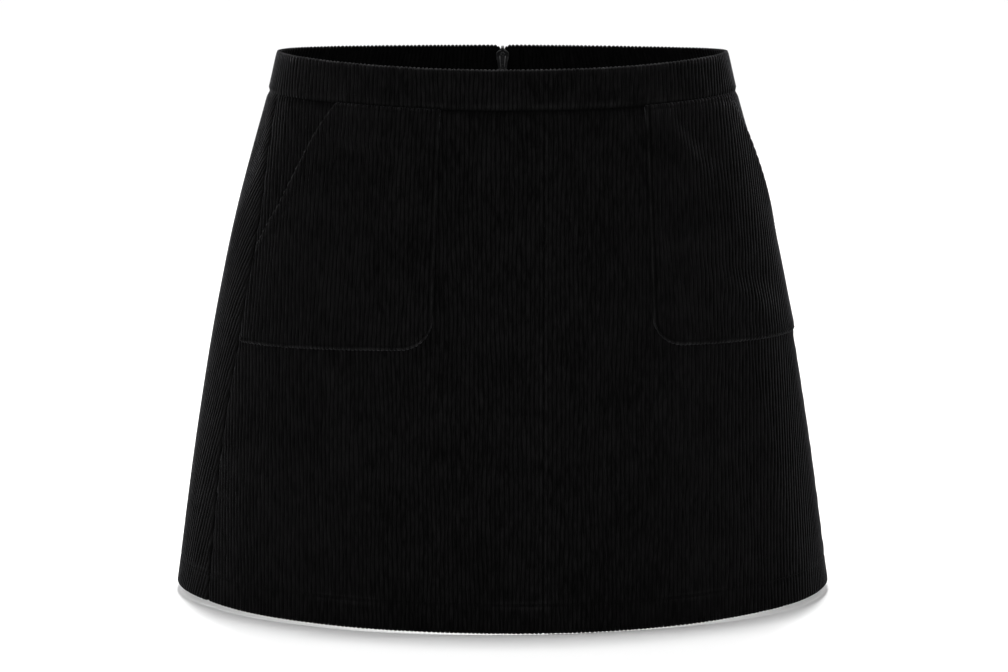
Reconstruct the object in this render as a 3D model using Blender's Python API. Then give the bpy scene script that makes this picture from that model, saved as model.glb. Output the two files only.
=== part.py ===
"""A short A-line skirt in wide-wale corduroy, filled out as it is when worn.

Metres, +Z up. The front faces -Y and the wearer's left is +X. The origin is the middle of the
waist opening, half way up the waistband. Every cloth piece is a thin wall laid on one shared
form: a point of the form is given by its arc, the distance round the waist from the middle of
the front (+ towards the wearer's left), and its drop, the distance below the waist seam.
"""

import math
from collections import namedtuple

import bmesh
import bpy
import numpy as np
from mathutils import Matrix, Vector

MM = 0.001

# The form: one row for each ring that shapes the skirt, from the top of the waistband down.
# front_dip is how much lower the ring hangs at the front; front_panel is the width of each
# front panel, from the centre front seam to the side seam.
Ring = namedtuple("Ring", "drop half_width front_depth back_depth front_dip front_panel")
RINGS = (
    Ring(-0.029, 0.1653, 0.0865, 0.0790, 0.0023, 0.2065),
    Ring(0.000, 0.1730, 0.0885, 0.0815, 0.0019, 0.2110),
    Ring(0.030, 0.1821, 0.0915, 0.0885, 0.0021, 0.2145),
    Ring(0.080, 0.1964, 0.0960, 0.0976, 0.0025, 0.2185),
    Ring(0.150, 0.2127, 0.1023, 0.1069, 0.0029, 0.2295),
    Ring(0.250, 0.2313, 0.1100, 0.1130, 0.0036, 0.2485),
    Ring(0.372, 0.2500, 0.1180, 0.1180, 0.0045, 0.2660),
)
BAND_HEIGHT = -RINGS[0].drop
HEM_DROP = RINGS[-1].drop
SEAM_Z = -BAND_HEIGHT / 2

# Soft waves towards the hem: the angle round the form (0 front, + wearer's left), how wide the
# wave is in degrees, and how far it stands out at the hem.
Wave = namedtuple("Wave", "angle spread height")
HEM_WAVES = (
    Wave(-62, 11, -0.0016),
    Wave(-24, 14, 0.0010),
    Wave(20, 16, -0.0010),
    Wave(60, 12, 0.0012),
    Wave(112, 12, -0.0016),
    Wave(146, 13, 0.0020),
    Wave(176, 12, -0.0014),
    Wave(-152, 14, 0.0018),
    Wave(-116, 11, -0.0018),
)
WAVES_FROM = 0.10

# Where the seams lie on the form.
CENTRE_FRONT = 0.0265
CENTRE_BACK = 0.0
SEAM_GAP = 0.0003
ZIP_GAP = 0.0010
ZIP_END = 0.160

# The cloth: 8-wale corduroy, a ground with one soft rib for each wale.
WALE = 3.12 * MM
GROUND = 1.0 * MM
RIB = 0.8 * MM
PRESSED_RIB = 0.3
PRESSED_TO = 0.030
LAY_GAP = 0.3 * MM
HEM_TURN = 0.022
HEM_TURN_THICK = 1.1 * MM
HEM_TURN_STEP = 1.0 * MM

# No two rows of a column lie closer than this, and no wale starts nearer to a side seam's end.
ROW_APART = 2.0 * MM
WALE_MARGIN = 0.2 * MM

# The plain inner faces have fewer columns than the ribbed outer ones: every so many half wales
# on the inside, more on the edges and most on the side seams and the pockets.
INSIDE_STEP = 8
EDGE_STEP = 4
SEAM_STEP = 2
POCKET_INSIDE_STEP = 2

BAND_INSIDE = -0.2 * MM
BAND_OUTSIDE = 2.0 * MM
BAND_ROUND = 2.0 * MM
NOTCH_DEPTH = 3.0 * MM
NOTCH_WIDTH = 6.0 * MM

# The patch pockets, by distance from the centre front seam and drop.
POCKET_EDGE = 0.0745
POCKET_LEAN = 0.035
POCKET_DEPTH = 0.172
POCKET_SIDE_DEPTH = 0.1775
POCKET_CORNER = 0.022
POCKET_SEAM_MARGIN = 0.0012
MouthPoint = namedtuple("MouthPoint", "from_centre drop")
POCKET_MOUTH = (
    MouthPoint(0.1490, 0.0000),
    MouthPoint(0.1585, 0.0100),
    MouthPoint(0.1680, 0.0235),
    MouthPoint(0.1960, 0.0725),
    MouthPoint(0.2270, 0.1150),
)

# The concealed zip in the centre back seam.
TAPE_WIDTH = 12.5 * MM
TAPE_THICK = 1.0 * MM
TAPE_TOP = -0.026
TAPE_INNER_EDGE = 0.7 * MM
COIL_HALF = 1.9 * MM
COIL_THICK = 1.6 * MM
COIL_TOP = -0.0095
SLIDER_DROP = -0.0185
SLIDER_LENGTH = 15.0 * MM
SLIDER_TOP_WIDTH = 9.4 * MM
SLIDER_BOTTOM_WIDTH = 7.0 * MM
SLIDER_CROWN = 3.3 * MM
SLIDER_THICK = 4.0 * MM
NECK_WIDTH = 1.2 * MM
NECK_LENGTH = 5.0 * MM
PLATE_WIDTH = 4.4 * MM
PLATE_LENGTH = 8.6 * MM
PLATE_THICK = 0.9 * MM
BAIL_INNER = 1.5 * MM
BAIL_WIRE = 1.0 * MM
PULL_LENGTH = 16.0 * MM
PULL_THICK = 1.0 * MM
PULL_TOP_WIDTH = 4.8 * MM
PULL_WIDTH = 6.4 * MM
PULL_EYE = Vector((2.4 * MM, 3.2 * MM))
PULL_BAR = 1.0 * MM
PULL_HEAD = 0.4 * MM
JOIN_DEPTH = 0.4 * MM
HALF_TURN_STEPS = 8

CORDUROY = (0.0052, 0.0050, 0.0050)
TAPE_BLACK = (0.0065, 0.0065, 0.0070)
ENAMEL_BLACK = (0.010, 0.010, 0.011)


# ---------------------------------------------------------------- the form


def wave_height(angle, drop):
    """How far the soft waves stand out from the plain form."""
    grow = max(0.0, (drop - WAVES_FROM) / (HEM_DROP - WAVES_FROM)) ** 1.5
    total = np.zeros_like(angle)
    for wave in HEM_WAVES:
        for turn in (-360, 0, 360):
            away = (np.degrees(angle) - wave.angle - turn) / wave.spread
            total += wave.height * np.exp(-(away**2))
    return grow * total


def ring_curve(ring):
    """One ring of the form as arc lengths from the middle of the front, with their points."""
    angle = np.radians(np.linspace(-225, 225, 1801))
    depth = np.where(np.cos(angle) > 0, ring.front_depth, ring.back_depth)
    across = ring.half_width * np.sin(angle)
    along = -depth * np.cos(angle)
    out_x, out_y = depth * np.sin(angle), -ring.half_width * np.cos(angle)
    length = np.hypot(out_x, out_y)
    stand = wave_height(angle, ring.drop)
    across = across + stand * out_x / length
    along = along + stand * out_y / length
    height = SEAM_Z - ring.drop - ring.front_dip * np.clip(np.cos(angle), 0, 1) ** 2
    step = np.hypot(np.diff(across), np.diff(along))
    arc = np.concatenate([[0], np.cumsum(step)])
    arc -= np.interp(0.0, angle, arc)
    half_loop = (np.interp(math.pi, angle, arc) - np.interp(-math.pi, angle, arc)) / 2
    return arc, np.stack([across, along, height], axis=1), half_loop


CURVES = [ring_curve(ring) for ring in RINGS]
DROPS = [ring.drop for ring in RINGS]
HALF_LOOPS = [curve[2] for curve in CURVES]
FRONT_PANELS = [ring.front_panel for ring in RINGS]


def on_ring(index, arc):
    """The point of one ring at an arc."""
    arcs, points, _ = CURVES[index]
    return np.array([np.interp(arc, arcs, points[:, axis]) for axis in range(3)])


def on_form(arc, drop):
    """The point of the form at an arc and a drop, straight between two rings."""
    index = min(max(int(np.searchsorted(DROPS, drop, side="right")) - 1, 0), len(DROPS) - 2)
    share = (drop - DROPS[index]) / (DROPS[index + 1] - DROPS[index])
    return (1 - share) * on_ring(index, arc) + share * on_ring(index + 1, arc)


def outward(arc, drop):
    """The level direction that points out of the form."""
    along = on_form(arc + MM, drop) - on_form(arc - MM, drop)
    normal = np.array([along[1], -along[0], 0.0])
    return normal / np.linalg.norm(normal)


def cloth_point(arc, drop, lift):
    """A point at a lift out from the form, where cloth that lies on cloth is placed."""
    return on_form(arc, drop) + lift * outward(arc, drop)


def half_loop(drop):
    return float(np.interp(drop, DROPS, HALF_LOOPS))


def front_width(drop):
    return float(np.interp(drop, DROPS, FRONT_PANELS))


def side_seam(side, drop):
    return CENTRE_FRONT + side * front_width(drop)


def back_seam(side, drop):
    return side * half_loop(drop) - CENTRE_BACK


def rib(drop):
    """The height of the ribs, which the waist seam presses flatter."""
    share = min(max(drop / PRESSED_TO, 0.0), 1.0)
    return RIB * (PRESSED_RIB + (1 - PRESSED_RIB) * share)


# ---------------------------------------------------------------- walls of cloth


# The points of a column run from the top edge of a wall to its foot, each with its drop. A column
# that isn't whole only bends the top edge, and the foot if it has two points.
Column = namedtuple("Column", "key points whole")


def zipper(left, right):
    """Triangles between two chains of (key, vertex), in step with their keys.

    The left chain takes the first step and the last one, so that the points which bend an edge
    are joined to a point away from that edge.
    """
    i, j, faces = 0, 0, []
    while i < len(left) - 1 or j < len(right) - 1:
        first_step = i == 0 and len(left) > 2
        right_done = j == len(right) - 1
        in_step = not right_done and i < len(left) - 2 and left[i + 1][0] <= right[j + 1][0]
        if first_step or right_done or in_step:
            faces.append((left[i][1], left[i + 1][1], right[j][1]))
            i += 1
        else:
            faces.append((left[i][1], right[j + 1][1], right[j][1]))
            j += 1
    return faces


def add_skin(bm, columns):
    """One face of a wall, joined from column to column. Its columns are returned as vertices."""
    made = [
        Column(key, [(drop, bm.verts.new(point)) for drop, point in points], whole)
        for key, points, whole in columns
    ]
    left, above, below = made[0].points, [], []
    for column in made[1:]:
        if column.whole:
            for face in zipper(left, [*above, *column.points, *below]):
                bm.faces.new(face)
            left, above, below = column.points, [], []
        else:
            above.append(column.points[0])
            below[:0] = column.points[1:]
    return made


def cloth_wall(name, outer, inner, material):
    """A closed wall from the columns of its two faces, with its four edges closed."""
    bm = bmesh.new()
    skins = (add_skin(bm, outer), add_skin(bm, inner))
    tops = [[(c.key, c.points[0][1]) for c in skin] for skin in skins]
    feet = [[(c.key, c.points[-1][1]) for c in skin if len(c.points) > 1] for skin in skins]
    starts = [skin[0].points for skin in skins]
    ends = [skin[-1].points for skin in skins]
    for first, second in (tops, feet, starts, ends):
        for face in zipper(first, second):
            bm.faces.new(face)
    return finish_mesh(name, bm, material)


def finish_mesh(name, bm, material):
    bmesh.ops.recalc_face_normals(bm, faces=bm.faces)
    mesh = bpy.data.meshes.new(name)
    bm.to_mesh(mesh)
    bm.free()
    mesh.materials.append(material)
    made = bpy.data.objects.new(name, mesh)
    bpy.context.scene.collection.objects.link(made)
    return made


def rows_between(top, bottom):
    """The ring drops that lie inside a column, with its two ends."""
    inside = [drop for drop in DROPS if top + ROW_APART < drop < bottom - ROW_APART]
    return [top, *inside, bottom]


def chosen(count, step):
    """Every step-th column, with the last."""
    return [*range(0, count - step // 2, step), count - 1]


def panel_columns(arc_of, width_of, edge_of, lift_of, indices, drops_of, whole=True):
    """Columns of a panel along its wales, counted from its straight-grain seam."""
    columns = []
    for index in indices:
        top = top_of_wale(index, width_of)
        points = []
        for drop in drops_of(index, top):
            across = edge_of(drop) if index == 0 else index * WALE / 2
            across = min(across, width_of(drop))
            points.append((drop, cloth_point(arc_of(across, drop), drop, lift_of(index, drop))))
        columns.append(Column(index, points, whole))
    return columns


def top_of_wale(index, width_of):
    """The drop where a half wale starts: at the waist, or where the side seam meets it."""
    across = index * WALE / 2
    tops = np.linspace(SEAM_GAP / 2, HEM_DROP, 745)
    widths = [width_of(drop) for drop in tops]
    return float(np.interp(across, widths, tops)) if across > widths[0] else float(tops[0])


def panel(name, arc_of, width_of, edge_of, material):
    """A front or back panel: ribs along its grain outside, plain inside, its hem turned up."""
    turn = HEM_DROP - HEM_TURN
    count = int((width_of(HEM_DROP) - WALE_MARGIN) / (WALE / 2)) + 1

    def outer_lift(index, drop):
        return GROUND + (rib(drop) if index % 2 else 0.0)

    def inner_lift(index, drop):
        return -HEM_TURN_THICK if drop >= turn else 0.0

    def outer_drops(index, top):
        rows = rows_between(top, HEM_DROP)
        return rows if index else [*rows[:-1], turn, HEM_DROP]

    def inner_drops(index, top):
        if top > turn - HEM_TURN_STEP - ROW_APART:
            return [top, HEM_DROP]
        return [*rows_between(top, turn - HEM_TURN_STEP), turn, HEM_DROP]

    shaped = (arc_of, width_of, edge_of)
    outer = panel_columns(*shaped, outer_lift, range(count), outer_drops)
    whole = chosen(count, INSIDE_STEP)
    at_edges = sorted({*range(0, count, EDGE_STEP)} - {*whole})
    on_seam = range(int(width_of(0.0) / WALE) * 2, count, SEAM_STEP)
    on_seam = sorted({*on_seam} - {*whole, *at_edges})
    inner = [
        *panel_columns(*shaped, inner_lift, whole, inner_drops),
        *panel_columns(*shaped, inner_lift, at_edges, lambda _, top: (top, HEM_DROP), False),
        *panel_columns(*shaped, inner_lift, on_seam, lambda _, top: (top,), False),
    ]
    outer = with_seam_corners(outer, arc_of, width_of, GROUND)
    inner = with_seam_corners(inner, arc_of, width_of, 0.0)
    return cloth_wall(name, outer, inner, material)


def with_seam_corners(columns, arc_of, width_of, lift):
    """Bend the side edge at each ring, where the seam changes its slant."""
    tops = [column.points[0][0] for column in columns]
    corners = []
    for drop in DROPS:
        inside = SEAM_GAP < drop < HEM_DROP
        if inside and min(abs(top - drop) for top in tops) > ROW_APART / 2:
            across = width_of(drop)
            point = cloth_point(arc_of(across, drop), drop, lift)
            corners.append(Column(across / (WALE / 2), [(drop, point)], False))
    return sorted([*columns, *corners], key=lambda column: column.key)


def front_panel(name, side, material):
    panel(
        name,
        lambda across, drop: CENTRE_FRONT + side * across,
        lambda drop: front_width(drop) - SEAM_GAP / 2,
        lambda drop: SEAM_GAP / 2,
        material,
    )


def back_panel(name, side, material):
    def zip_edge(drop):
        return ZIP_GAP / 2 if drop < ZIP_END else SEAM_GAP / 2

    panel(
        name,
        lambda across, drop: back_seam(side, drop) - side * across,
        lambda drop: side * (back_seam(side, drop) - side_seam(side, drop)) - SEAM_GAP / 2,
        zip_edge,
        material,
    )


# ---------------------------------------------------------------- waistband and pockets


BandRow = namedtuple("BandRow", "drop lift ridge notch")


def band_columns(indices, counts, rows, whole=True):
    """Columns of the waistband, spread evenly from the centre front to both of its ends."""
    columns = []
    for index in indices:
        side = 1 if index >= 0 else -1
        from_end = (counts[side] - abs(index)) * WALE / 2
        near_end = max(0.0, 1 - from_end / NOTCH_WIDTH)
        points = []
        for row in rows:
            drop = row.drop + row.notch * near_end**2
            end = back_seam(side, drop) - side * ZIP_GAP
            arc = CENTRE_FRONT + (end - CENTRE_FRONT) * abs(index) / counts[side]
            lift = row.lift + (row.ridge if index % 2 else 0.0)
            points.append((row.drop, cloth_point(arc, drop, lift)))
        columns.append(Column(index, points, whole))
    return columns


def waistband(material):
    """A folded band all round, parted at the zip, its top edge rounded over."""
    counts = {
        side: round(side * (back_seam(side, -BAND_HEIGHT / 2) - CENTRE_FRONT) / (WALE / 2))
        for side in (1, -1)
    }
    bottom, top = -SEAM_GAP / 2, -BAND_HEIGHT
    outer_rows = (
        BandRow(top, 0.7 * BAND_OUTSIDE, 0.4 * RIB, NOTCH_DEPTH),
        BandRow(top + BAND_ROUND, BAND_OUTSIDE, RIB, NOTCH_DEPTH),
        BandRow(bottom, BAND_OUTSIDE, PRESSED_RIB * RIB, 0.0),
    )
    inner_rows = (
        BandRow(top, 0.2 * BAND_OUTSIDE, 0.0, NOTCH_DEPTH),
        BandRow(top + BAND_ROUND, BAND_INSIDE, 0.0, NOTCH_DEPTH),
        BandRow(bottom, BAND_INSIDE, 0.0, 0.0),
    )
    every = range(-counts[-1], counts[1] + 1)
    whole = {index for index in every if index % INSIDE_STEP == 0} | {every[0], every[-1]}
    at_top = {index for index in every if index % EDGE_STEP == 0} - whole
    inner = [
        *band_columns(sorted(whole), counts, inner_rows),
        *band_columns(sorted(at_top), counts, inner_rows[:1], False),
    ]
    inner.sort(key=lambda column: column.key)
    return cloth_wall("waistband", band_columns(every, counts, outer_rows), inner, material)


def pocket_outline(across):
    """The top and bottom drops of a pocket at a distance along it from its inner edge."""
    drops = np.linspace(SEAM_GAP / 2, POCKET_SIDE_DEPTH, 711)
    from_centre = POCKET_EDGE + across + POCKET_LEAN * drops
    mouth = np.interp(
        drops,
        [point.drop for point in POCKET_MOUTH],
        [point.from_centre for point in POCKET_MOUTH],
    )
    seam = np.array([front_width(drop) for drop in drops]) - POCKET_SEAM_MARGIN
    limit = np.where(drops < POCKET_MOUTH[-1].drop, np.minimum(mouth, seam), seam)
    top = float(drops[np.argmax(from_centre <= limit)])
    into_corner = max(0.0, POCKET_CORNER - across)
    rounding = POCKET_CORNER - math.sqrt(max(POCKET_CORNER**2 - into_corner**2, 0.0))
    width = front_width(POCKET_SIDE_DEPTH) - POCKET_EDGE
    slope = (POCKET_SIDE_DEPTH - POCKET_DEPTH) * max(0.0, across / width)
    return top, POCKET_DEPTH + slope - rounding


def pocket_columns(side, indices, lift_of):
    columns = []
    for index in indices:
        across = index * WALE / 2
        top, bottom = pocket_outline(across)
        points = []
        for drop in rows_between(top, bottom):
            arc = CENTRE_FRONT + side * (POCKET_EDGE + across + POCKET_LEAN * drop)
            points.append((drop, cloth_point(arc, drop, lift_of(index, drop))))
        columns.append(Column(index, points, True))
    return columns


def pocket(name, side, material):
    """A patch pocket with a slanted mouth, laid on the ribs of the front panel."""
    reach = front_width(POCKET_SIDE_DEPTH) - POCKET_SEAM_MARGIN - POCKET_EDGE
    reach -= POCKET_LEAN * POCKET_SIDE_DEPTH
    count = int(reach / (WALE / 2))

    def inner_lift(index, drop):
        return GROUND + rib(drop) + LAY_GAP

    def outer_lift(index, drop):
        return inner_lift(index, drop) + GROUND + (rib(drop) if index % 2 else 0.0)

    outer = pocket_columns(side, range(count), outer_lift)
    inner = pocket_columns(side, chosen(count, POCKET_INSIDE_STEP), inner_lift)
    return cloth_wall(name, outer, inner, material)


# ---------------------------------------------------------------- the zip


def zip_strip(name, side, start, end, drops, lifts, material):
    """A strip beside the centre back seam, from one distance to another, inside the cloth."""

    def columns(lift):
        made = []
        for across in (start, (start + end) / 2, end):
            arcs = [(drop, back_seam(side, drop) - side * across) for drop in drops]
            points = [(drop, cloth_point(arc, drop, lift)) for drop, arc in arcs]
            made.append(Column(across, points, True))
        return made

    return cloth_wall(name, columns(lifts[1]), columns(lifts[0]), material)


TAPE_LIFT = BAND_INSIDE - LAY_GAP
COIL_LIFT = TAPE_LIFT - TAPE_THICK - LAY_GAP


def zip_tape(name, side, material):
    drops = [TAPE_TOP, *[d for d in DROPS if TAPE_TOP < d < ZIP_END], ZIP_END + 0.010]
    lifts = (TAPE_LIFT - TAPE_THICK, TAPE_LIFT)
    return zip_strip(name, side, TAPE_INNER_EDGE, TAPE_WIDTH, drops, lifts, material)


def zip_coil(material):
    drops = [COIL_TOP, *[d for d in DROPS if COIL_TOP < d < ZIP_END], ZIP_END]
    lifts = (COIL_LIFT - COIL_THICK, COIL_LIFT)
    return zip_strip("zip_coil", 1, -COIL_HALF, COIL_HALF, drops, lifts, material)


def slider_place():
    """The slider's own axes: X level, Y out of the back, Z up along the waistband."""
    arc = back_seam(1, SLIDER_DROP)
    middle = Vector(on_form(arc, SLIDER_DROP))
    above = Vector(on_form(back_seam(1, SLIDER_DROP - MM), SLIDER_DROP - MM))
    up = (above - middle).normalized()
    across = Vector((1.0, 0.0, 0.0))
    out = up.cross(across).normalized()
    across = out.cross(up)
    turn = Matrix((across, out, up)).transposed().to_4x4()
    return Matrix.Translation(middle) @ turn


def slab(bm, outline, low, high):
    """An outline of (x, z) pairs made solid from one y to another."""
    near = [bm.verts.new((x, low, z)) for x, z in outline]
    far = [bm.verts.new((x, high, z)) for x, z in outline]
    bm.faces.new(near)
    bm.faces.new(list(reversed(far)))
    count = len(outline)
    for i in range(count):
        j = (i + 1) % count
        bm.faces.new((near[j], near[i], far[i], far[j]))


def half_turn(start=0.0):
    """The angles along half a circle."""
    return [start + math.pi * step / HALF_TURN_STEPS for step in range(HALF_TURN_STEPS + 1)]


def slider_outline():
    """A pear shape, wide and round at the top, narrow at the foot."""
    half_top, half_foot = SLIDER_TOP_WIDTH / 2, SLIDER_BOTTOM_WIDTH / 2
    top = SLIDER_LENGTH / 2 - SLIDER_CROWN
    outline = [(-half_foot, -SLIDER_LENGTH / 2), (half_foot, -SLIDER_LENGTH / 2)]
    for turn in half_turn():
        outline.append((half_top * math.cos(turn), top + SLIDER_CROWN * math.sin(turn)))
    return outline


def box_outline(width, length, middle_z=0.0):
    half, tall = width / 2, length / 2
    corners = ((-half, -tall), (half, -tall), (half, tall), (-half, tall))
    return [(x, z + middle_z) for x, z in corners]


PLATE_INNER = BAND_OUTSIDE + RIB + LAY_GAP
PLATE_OUTER = PLATE_INNER + PLATE_THICK
PIVOT_OUT = PLATE_OUTER + 1.1 * MM
PIVOT_UP = 0.5 * MM


def bail_outline():
    """A staple of wire seen from its side, as (y, z) pairs, round the pull's bar."""
    outer, inner = BAIL_INNER + BAIL_WIRE, BAIL_INNER
    root = PLATE_OUTER - JOIN_DEPTH - PIVOT_OUT
    turns = half_turn(-math.pi / 2)
    over = [(outer * math.cos(turn), outer * math.sin(turn)) for turn in turns]
    under = [(inner * math.cos(turn), inner * math.sin(turn)) for turn in reversed(turns)]
    points = [(root, -outer), *over, (root, outer), (root, inner), *under, (root, -inner)]
    return [(y + PIVOT_OUT, z + PIVOT_UP) for y, z in points]


def add_union(target, name, bm, material):
    """Join a closed shape to the target with a Boolean union."""
    part = finish_mesh(name, bm, material)
    part.matrix_world = target.matrix_world
    part.hide_render = True
    part.display_type = "WIRE"
    union = target.modifiers.new(name, "BOOLEAN")
    union.operation = "UNION"
    union.object = part


def zip_slider(material):
    """The slider: its body inside, a neck through the gap, a plate and a bail outside."""
    bm = bmesh.new()
    slab(bm, slider_outline(), COIL_LIFT - SLIDER_THICK, COIL_LIFT)
    slider = finish_mesh("zip_slider", bm, material)
    slider.matrix_world = slider_place()
    bm = bmesh.new()
    neck = (COIL_LIFT - JOIN_DEPTH, PLATE_INNER + JOIN_DEPTH)
    slab(bm, box_outline(NECK_WIDTH, NECK_LENGTH), *neck)
    add_union(slider, "neck", bm, material)
    bm = bmesh.new()
    slab(bm, box_outline(PLATE_WIDTH, PLATE_LENGTH), PLATE_INNER, PLATE_OUTER)
    add_union(slider, "plate", bm, material)
    bm = bmesh.new()
    half = BAIL_WIRE / 2
    outline = bail_outline()
    left = [bm.verts.new((-half, y, z)) for y, z in outline]
    right = [bm.verts.new((half, y, z)) for y, z in outline]
    bm.faces.new(left)
    bm.faces.new(list(reversed(right)))
    for i in range(len(outline)):
        j = (i + 1) % len(outline)
        bm.faces.new((left[j], left[i], right[i], right[j]))
    add_union(slider, "bail", bm, material)
    return slider


def pull_outline():
    """A teardrop that hangs from its bar, as (x, z) pairs from the pivot."""
    top = PULL_BAR / 2 + PULL_HEAD
    half_top, half = PULL_TOP_WIDTH / 2, PULL_WIDTH / 2
    foot = -(PULL_LENGTH - half)
    outline = [(half_top, top)]
    for turn in half_turn():
        outline.append((half * math.cos(turn), foot - half * math.sin(turn)))
    outline.append((-half_top, top))
    return list(reversed(outline))


def zip_pull(material):
    """The pull tab, hung on the bail by the bar above its eye. Its origin is on the bar."""
    place = slider_place()
    pivot = place @ Vector((0.0, PIVOT_OUT, PIVOT_UP))
    bm = bmesh.new()
    slab(bm, pull_outline(), -PULL_THICK / 2, PULL_THICK / 2)
    pull = finish_mesh("zip_pull", bm, material)
    pull.location = pivot
    bm = bmesh.new()
    eye_middle = -PULL_BAR / 2 - PULL_EYE.y / 2
    slab(bm, box_outline(PULL_EYE.x, PULL_EYE.y, eye_middle), -PULL_THICK, PULL_THICK)
    eye = finish_mesh("eye", bm, material)
    eye.location = pivot
    eye.hide_render = True
    eye.display_type = "WIRE"
    cut = pull.modifiers.new("eye", "BOOLEAN")
    cut.operation = "DIFFERENCE"
    cut.object = eye
    return pull


# ---------------------------------------------------------------- materials and the whole skirt


def material(name, colour, roughness, metallic=0.0):
    made = bpy.data.materials.new(name)
    made.use_nodes = True
    shader = made.node_tree.nodes["Principled BSDF"]
    shader.inputs["Base Color"].default_value = (*colour, 1.0)
    shader.inputs["Roughness"].default_value = roughness
    shader.inputs["Metallic"].default_value = metallic
    return made


def skirt():
    for old in list(bpy.data.objects):
        bpy.data.objects.remove(old)
    front_panel("front_left", 1, material("front_left", CORDUROY, 0.95))
    front_panel("front_right", -1, material("front_right", CORDUROY, 0.95))
    back_panel("back_left", 1, material("back_left", CORDUROY, 0.95))
    back_panel("back_right", -1, material("back_right", CORDUROY, 0.95))
    waistband(material("waistband", CORDUROY, 0.92))
    pocket("pocket_left", 1, material("pocket_left", CORDUROY, 0.95))
    pocket("pocket_right", -1, material("pocket_right", CORDUROY, 0.95))
    zip_tape("zip_tape_left", 1, material("zip_tape_left", TAPE_BLACK, 0.8))
    zip_tape("zip_tape_right", -1, material("zip_tape_right", TAPE_BLACK, 0.8))
    zip_coil(material("zip_coil", TAPE_BLACK, 0.45))
    zip_slider(material("zip_slider", ENAMEL_BLACK, 0.35, 0.4))
    zip_pull(material("zip_pull", ENAMEL_BLACK, 0.35, 0.4))


skirt()
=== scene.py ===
import math
from collections import namedtuple

import bmesh
import bpy
import numpy as np
from mathutils import Matrix, Vector


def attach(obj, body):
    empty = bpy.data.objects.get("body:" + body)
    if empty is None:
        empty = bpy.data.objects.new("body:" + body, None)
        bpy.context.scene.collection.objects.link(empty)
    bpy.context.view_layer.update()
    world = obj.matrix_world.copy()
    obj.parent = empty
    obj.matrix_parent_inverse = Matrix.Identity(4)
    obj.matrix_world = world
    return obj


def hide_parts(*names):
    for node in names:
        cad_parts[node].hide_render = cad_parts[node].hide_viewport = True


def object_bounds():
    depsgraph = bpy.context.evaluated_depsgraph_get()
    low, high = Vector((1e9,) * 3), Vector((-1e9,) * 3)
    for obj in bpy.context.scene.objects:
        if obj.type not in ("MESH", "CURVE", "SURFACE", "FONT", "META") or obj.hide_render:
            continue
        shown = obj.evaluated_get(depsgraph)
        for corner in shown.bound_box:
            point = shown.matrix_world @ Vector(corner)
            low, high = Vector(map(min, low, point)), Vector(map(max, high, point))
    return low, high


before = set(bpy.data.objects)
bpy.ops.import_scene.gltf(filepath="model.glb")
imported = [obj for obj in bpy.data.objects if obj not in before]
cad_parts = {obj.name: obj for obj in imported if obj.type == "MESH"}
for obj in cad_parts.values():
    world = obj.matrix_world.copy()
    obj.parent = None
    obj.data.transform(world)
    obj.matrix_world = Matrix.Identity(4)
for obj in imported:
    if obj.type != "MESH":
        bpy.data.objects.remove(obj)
cad_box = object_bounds()


# ---------------------------------------------------------------- camera, floor and light
# The skirt hangs with its hem a few millimetres over a pale studio floor. Soft light comes from
# all round, a small box overhead throws a short shadow out from the hem, and a light high up
# behind brightens the floor.

CAMERA_AWAY = 1.80
CAMERA_UP = 0.1855
CAMERA_ASIDE = 0.0011
CAMERA_TILT = math.radians(12.0)
FOCAL_PX = 2440
IMAGE_WIDTH_PX = 1008
SENSOR = 36.0
FLOOR_GAP = 0.0026
FLOOR_RADIUS = 14.0
FLOOR_PALE = (0.94, 0.94, 0.94)
STUDIO_GLOW = 0.56
SKIRT_MIDDLE = (0.0, 0.0, -0.2)
SUN_POWER = 1.78
SUN_SPREAD = math.radians(10)
SUN_LEAN = math.radians(-24)

camera_data = bpy.data.cameras.new("camera")
camera_data.sensor_width = SENSOR
camera_data.lens = FOCAL_PX * SENSOR / IMAGE_WIDTH_PX
camera_data.clip_end = 60.0
camera = bpy.data.objects.new("camera", camera_data)
camera.location = (CAMERA_ASIDE, -CAMERA_AWAY, CAMERA_UP)
camera.rotation_euler = (math.pi / 2 - CAMERA_TILT, 0, 0)
bpy.context.scene.collection.objects.link(camera)
bpy.context.scene.camera = camera

bpy.ops.object.select_all(action="DESELECT")
floor_z = cad_box[0][2] - FLOOR_GAP
bpy.ops.mesh.primitive_circle_add(
    vertices=96, radius=FLOOR_RADIUS, fill_type="NGON", location=(0, 0, floor_z)
)
floor = bpy.context.object
floor.name = "floor"
floor_paper = bpy.data.materials.new("floor_paper")
floor_paper.use_nodes = True
paper = floor_paper.node_tree.nodes["Principled BSDF"].inputs
paper["Base Color"].default_value = (*FLOOR_PALE, 1)
paper["Roughness"].default_value = 0.9
paper["Specular IOR Level"].default_value = 0.1
floor.data.materials.append(floor_paper)

world = bpy.data.worlds.new("studio")
world.use_nodes = True
glow = world.node_tree.nodes["Background"].inputs
glow["Color"].default_value = (1.0, 1.0, 1.0, 1.0)
glow["Strength"].default_value = STUDIO_GLOW
bpy.context.scene.world = world
bpy.context.scene.view_settings.view_transform = "Standard"


def softbox(name, place, aim, size, power):
    """A square soft light at a place, turned towards a point."""
    data = bpy.data.lights.new(name, "AREA")
    data.shape = "RECTANGLE"
    data.size, data.size_y = size
    data.energy = power
    light = bpy.data.objects.new(name, data)
    light.location = place
    light.rotation_euler = (Vector(aim) - Vector(place)).to_track_quat("-Z", "Y").to_euler()
    bpy.context.scene.collection.objects.link(light)


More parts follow.
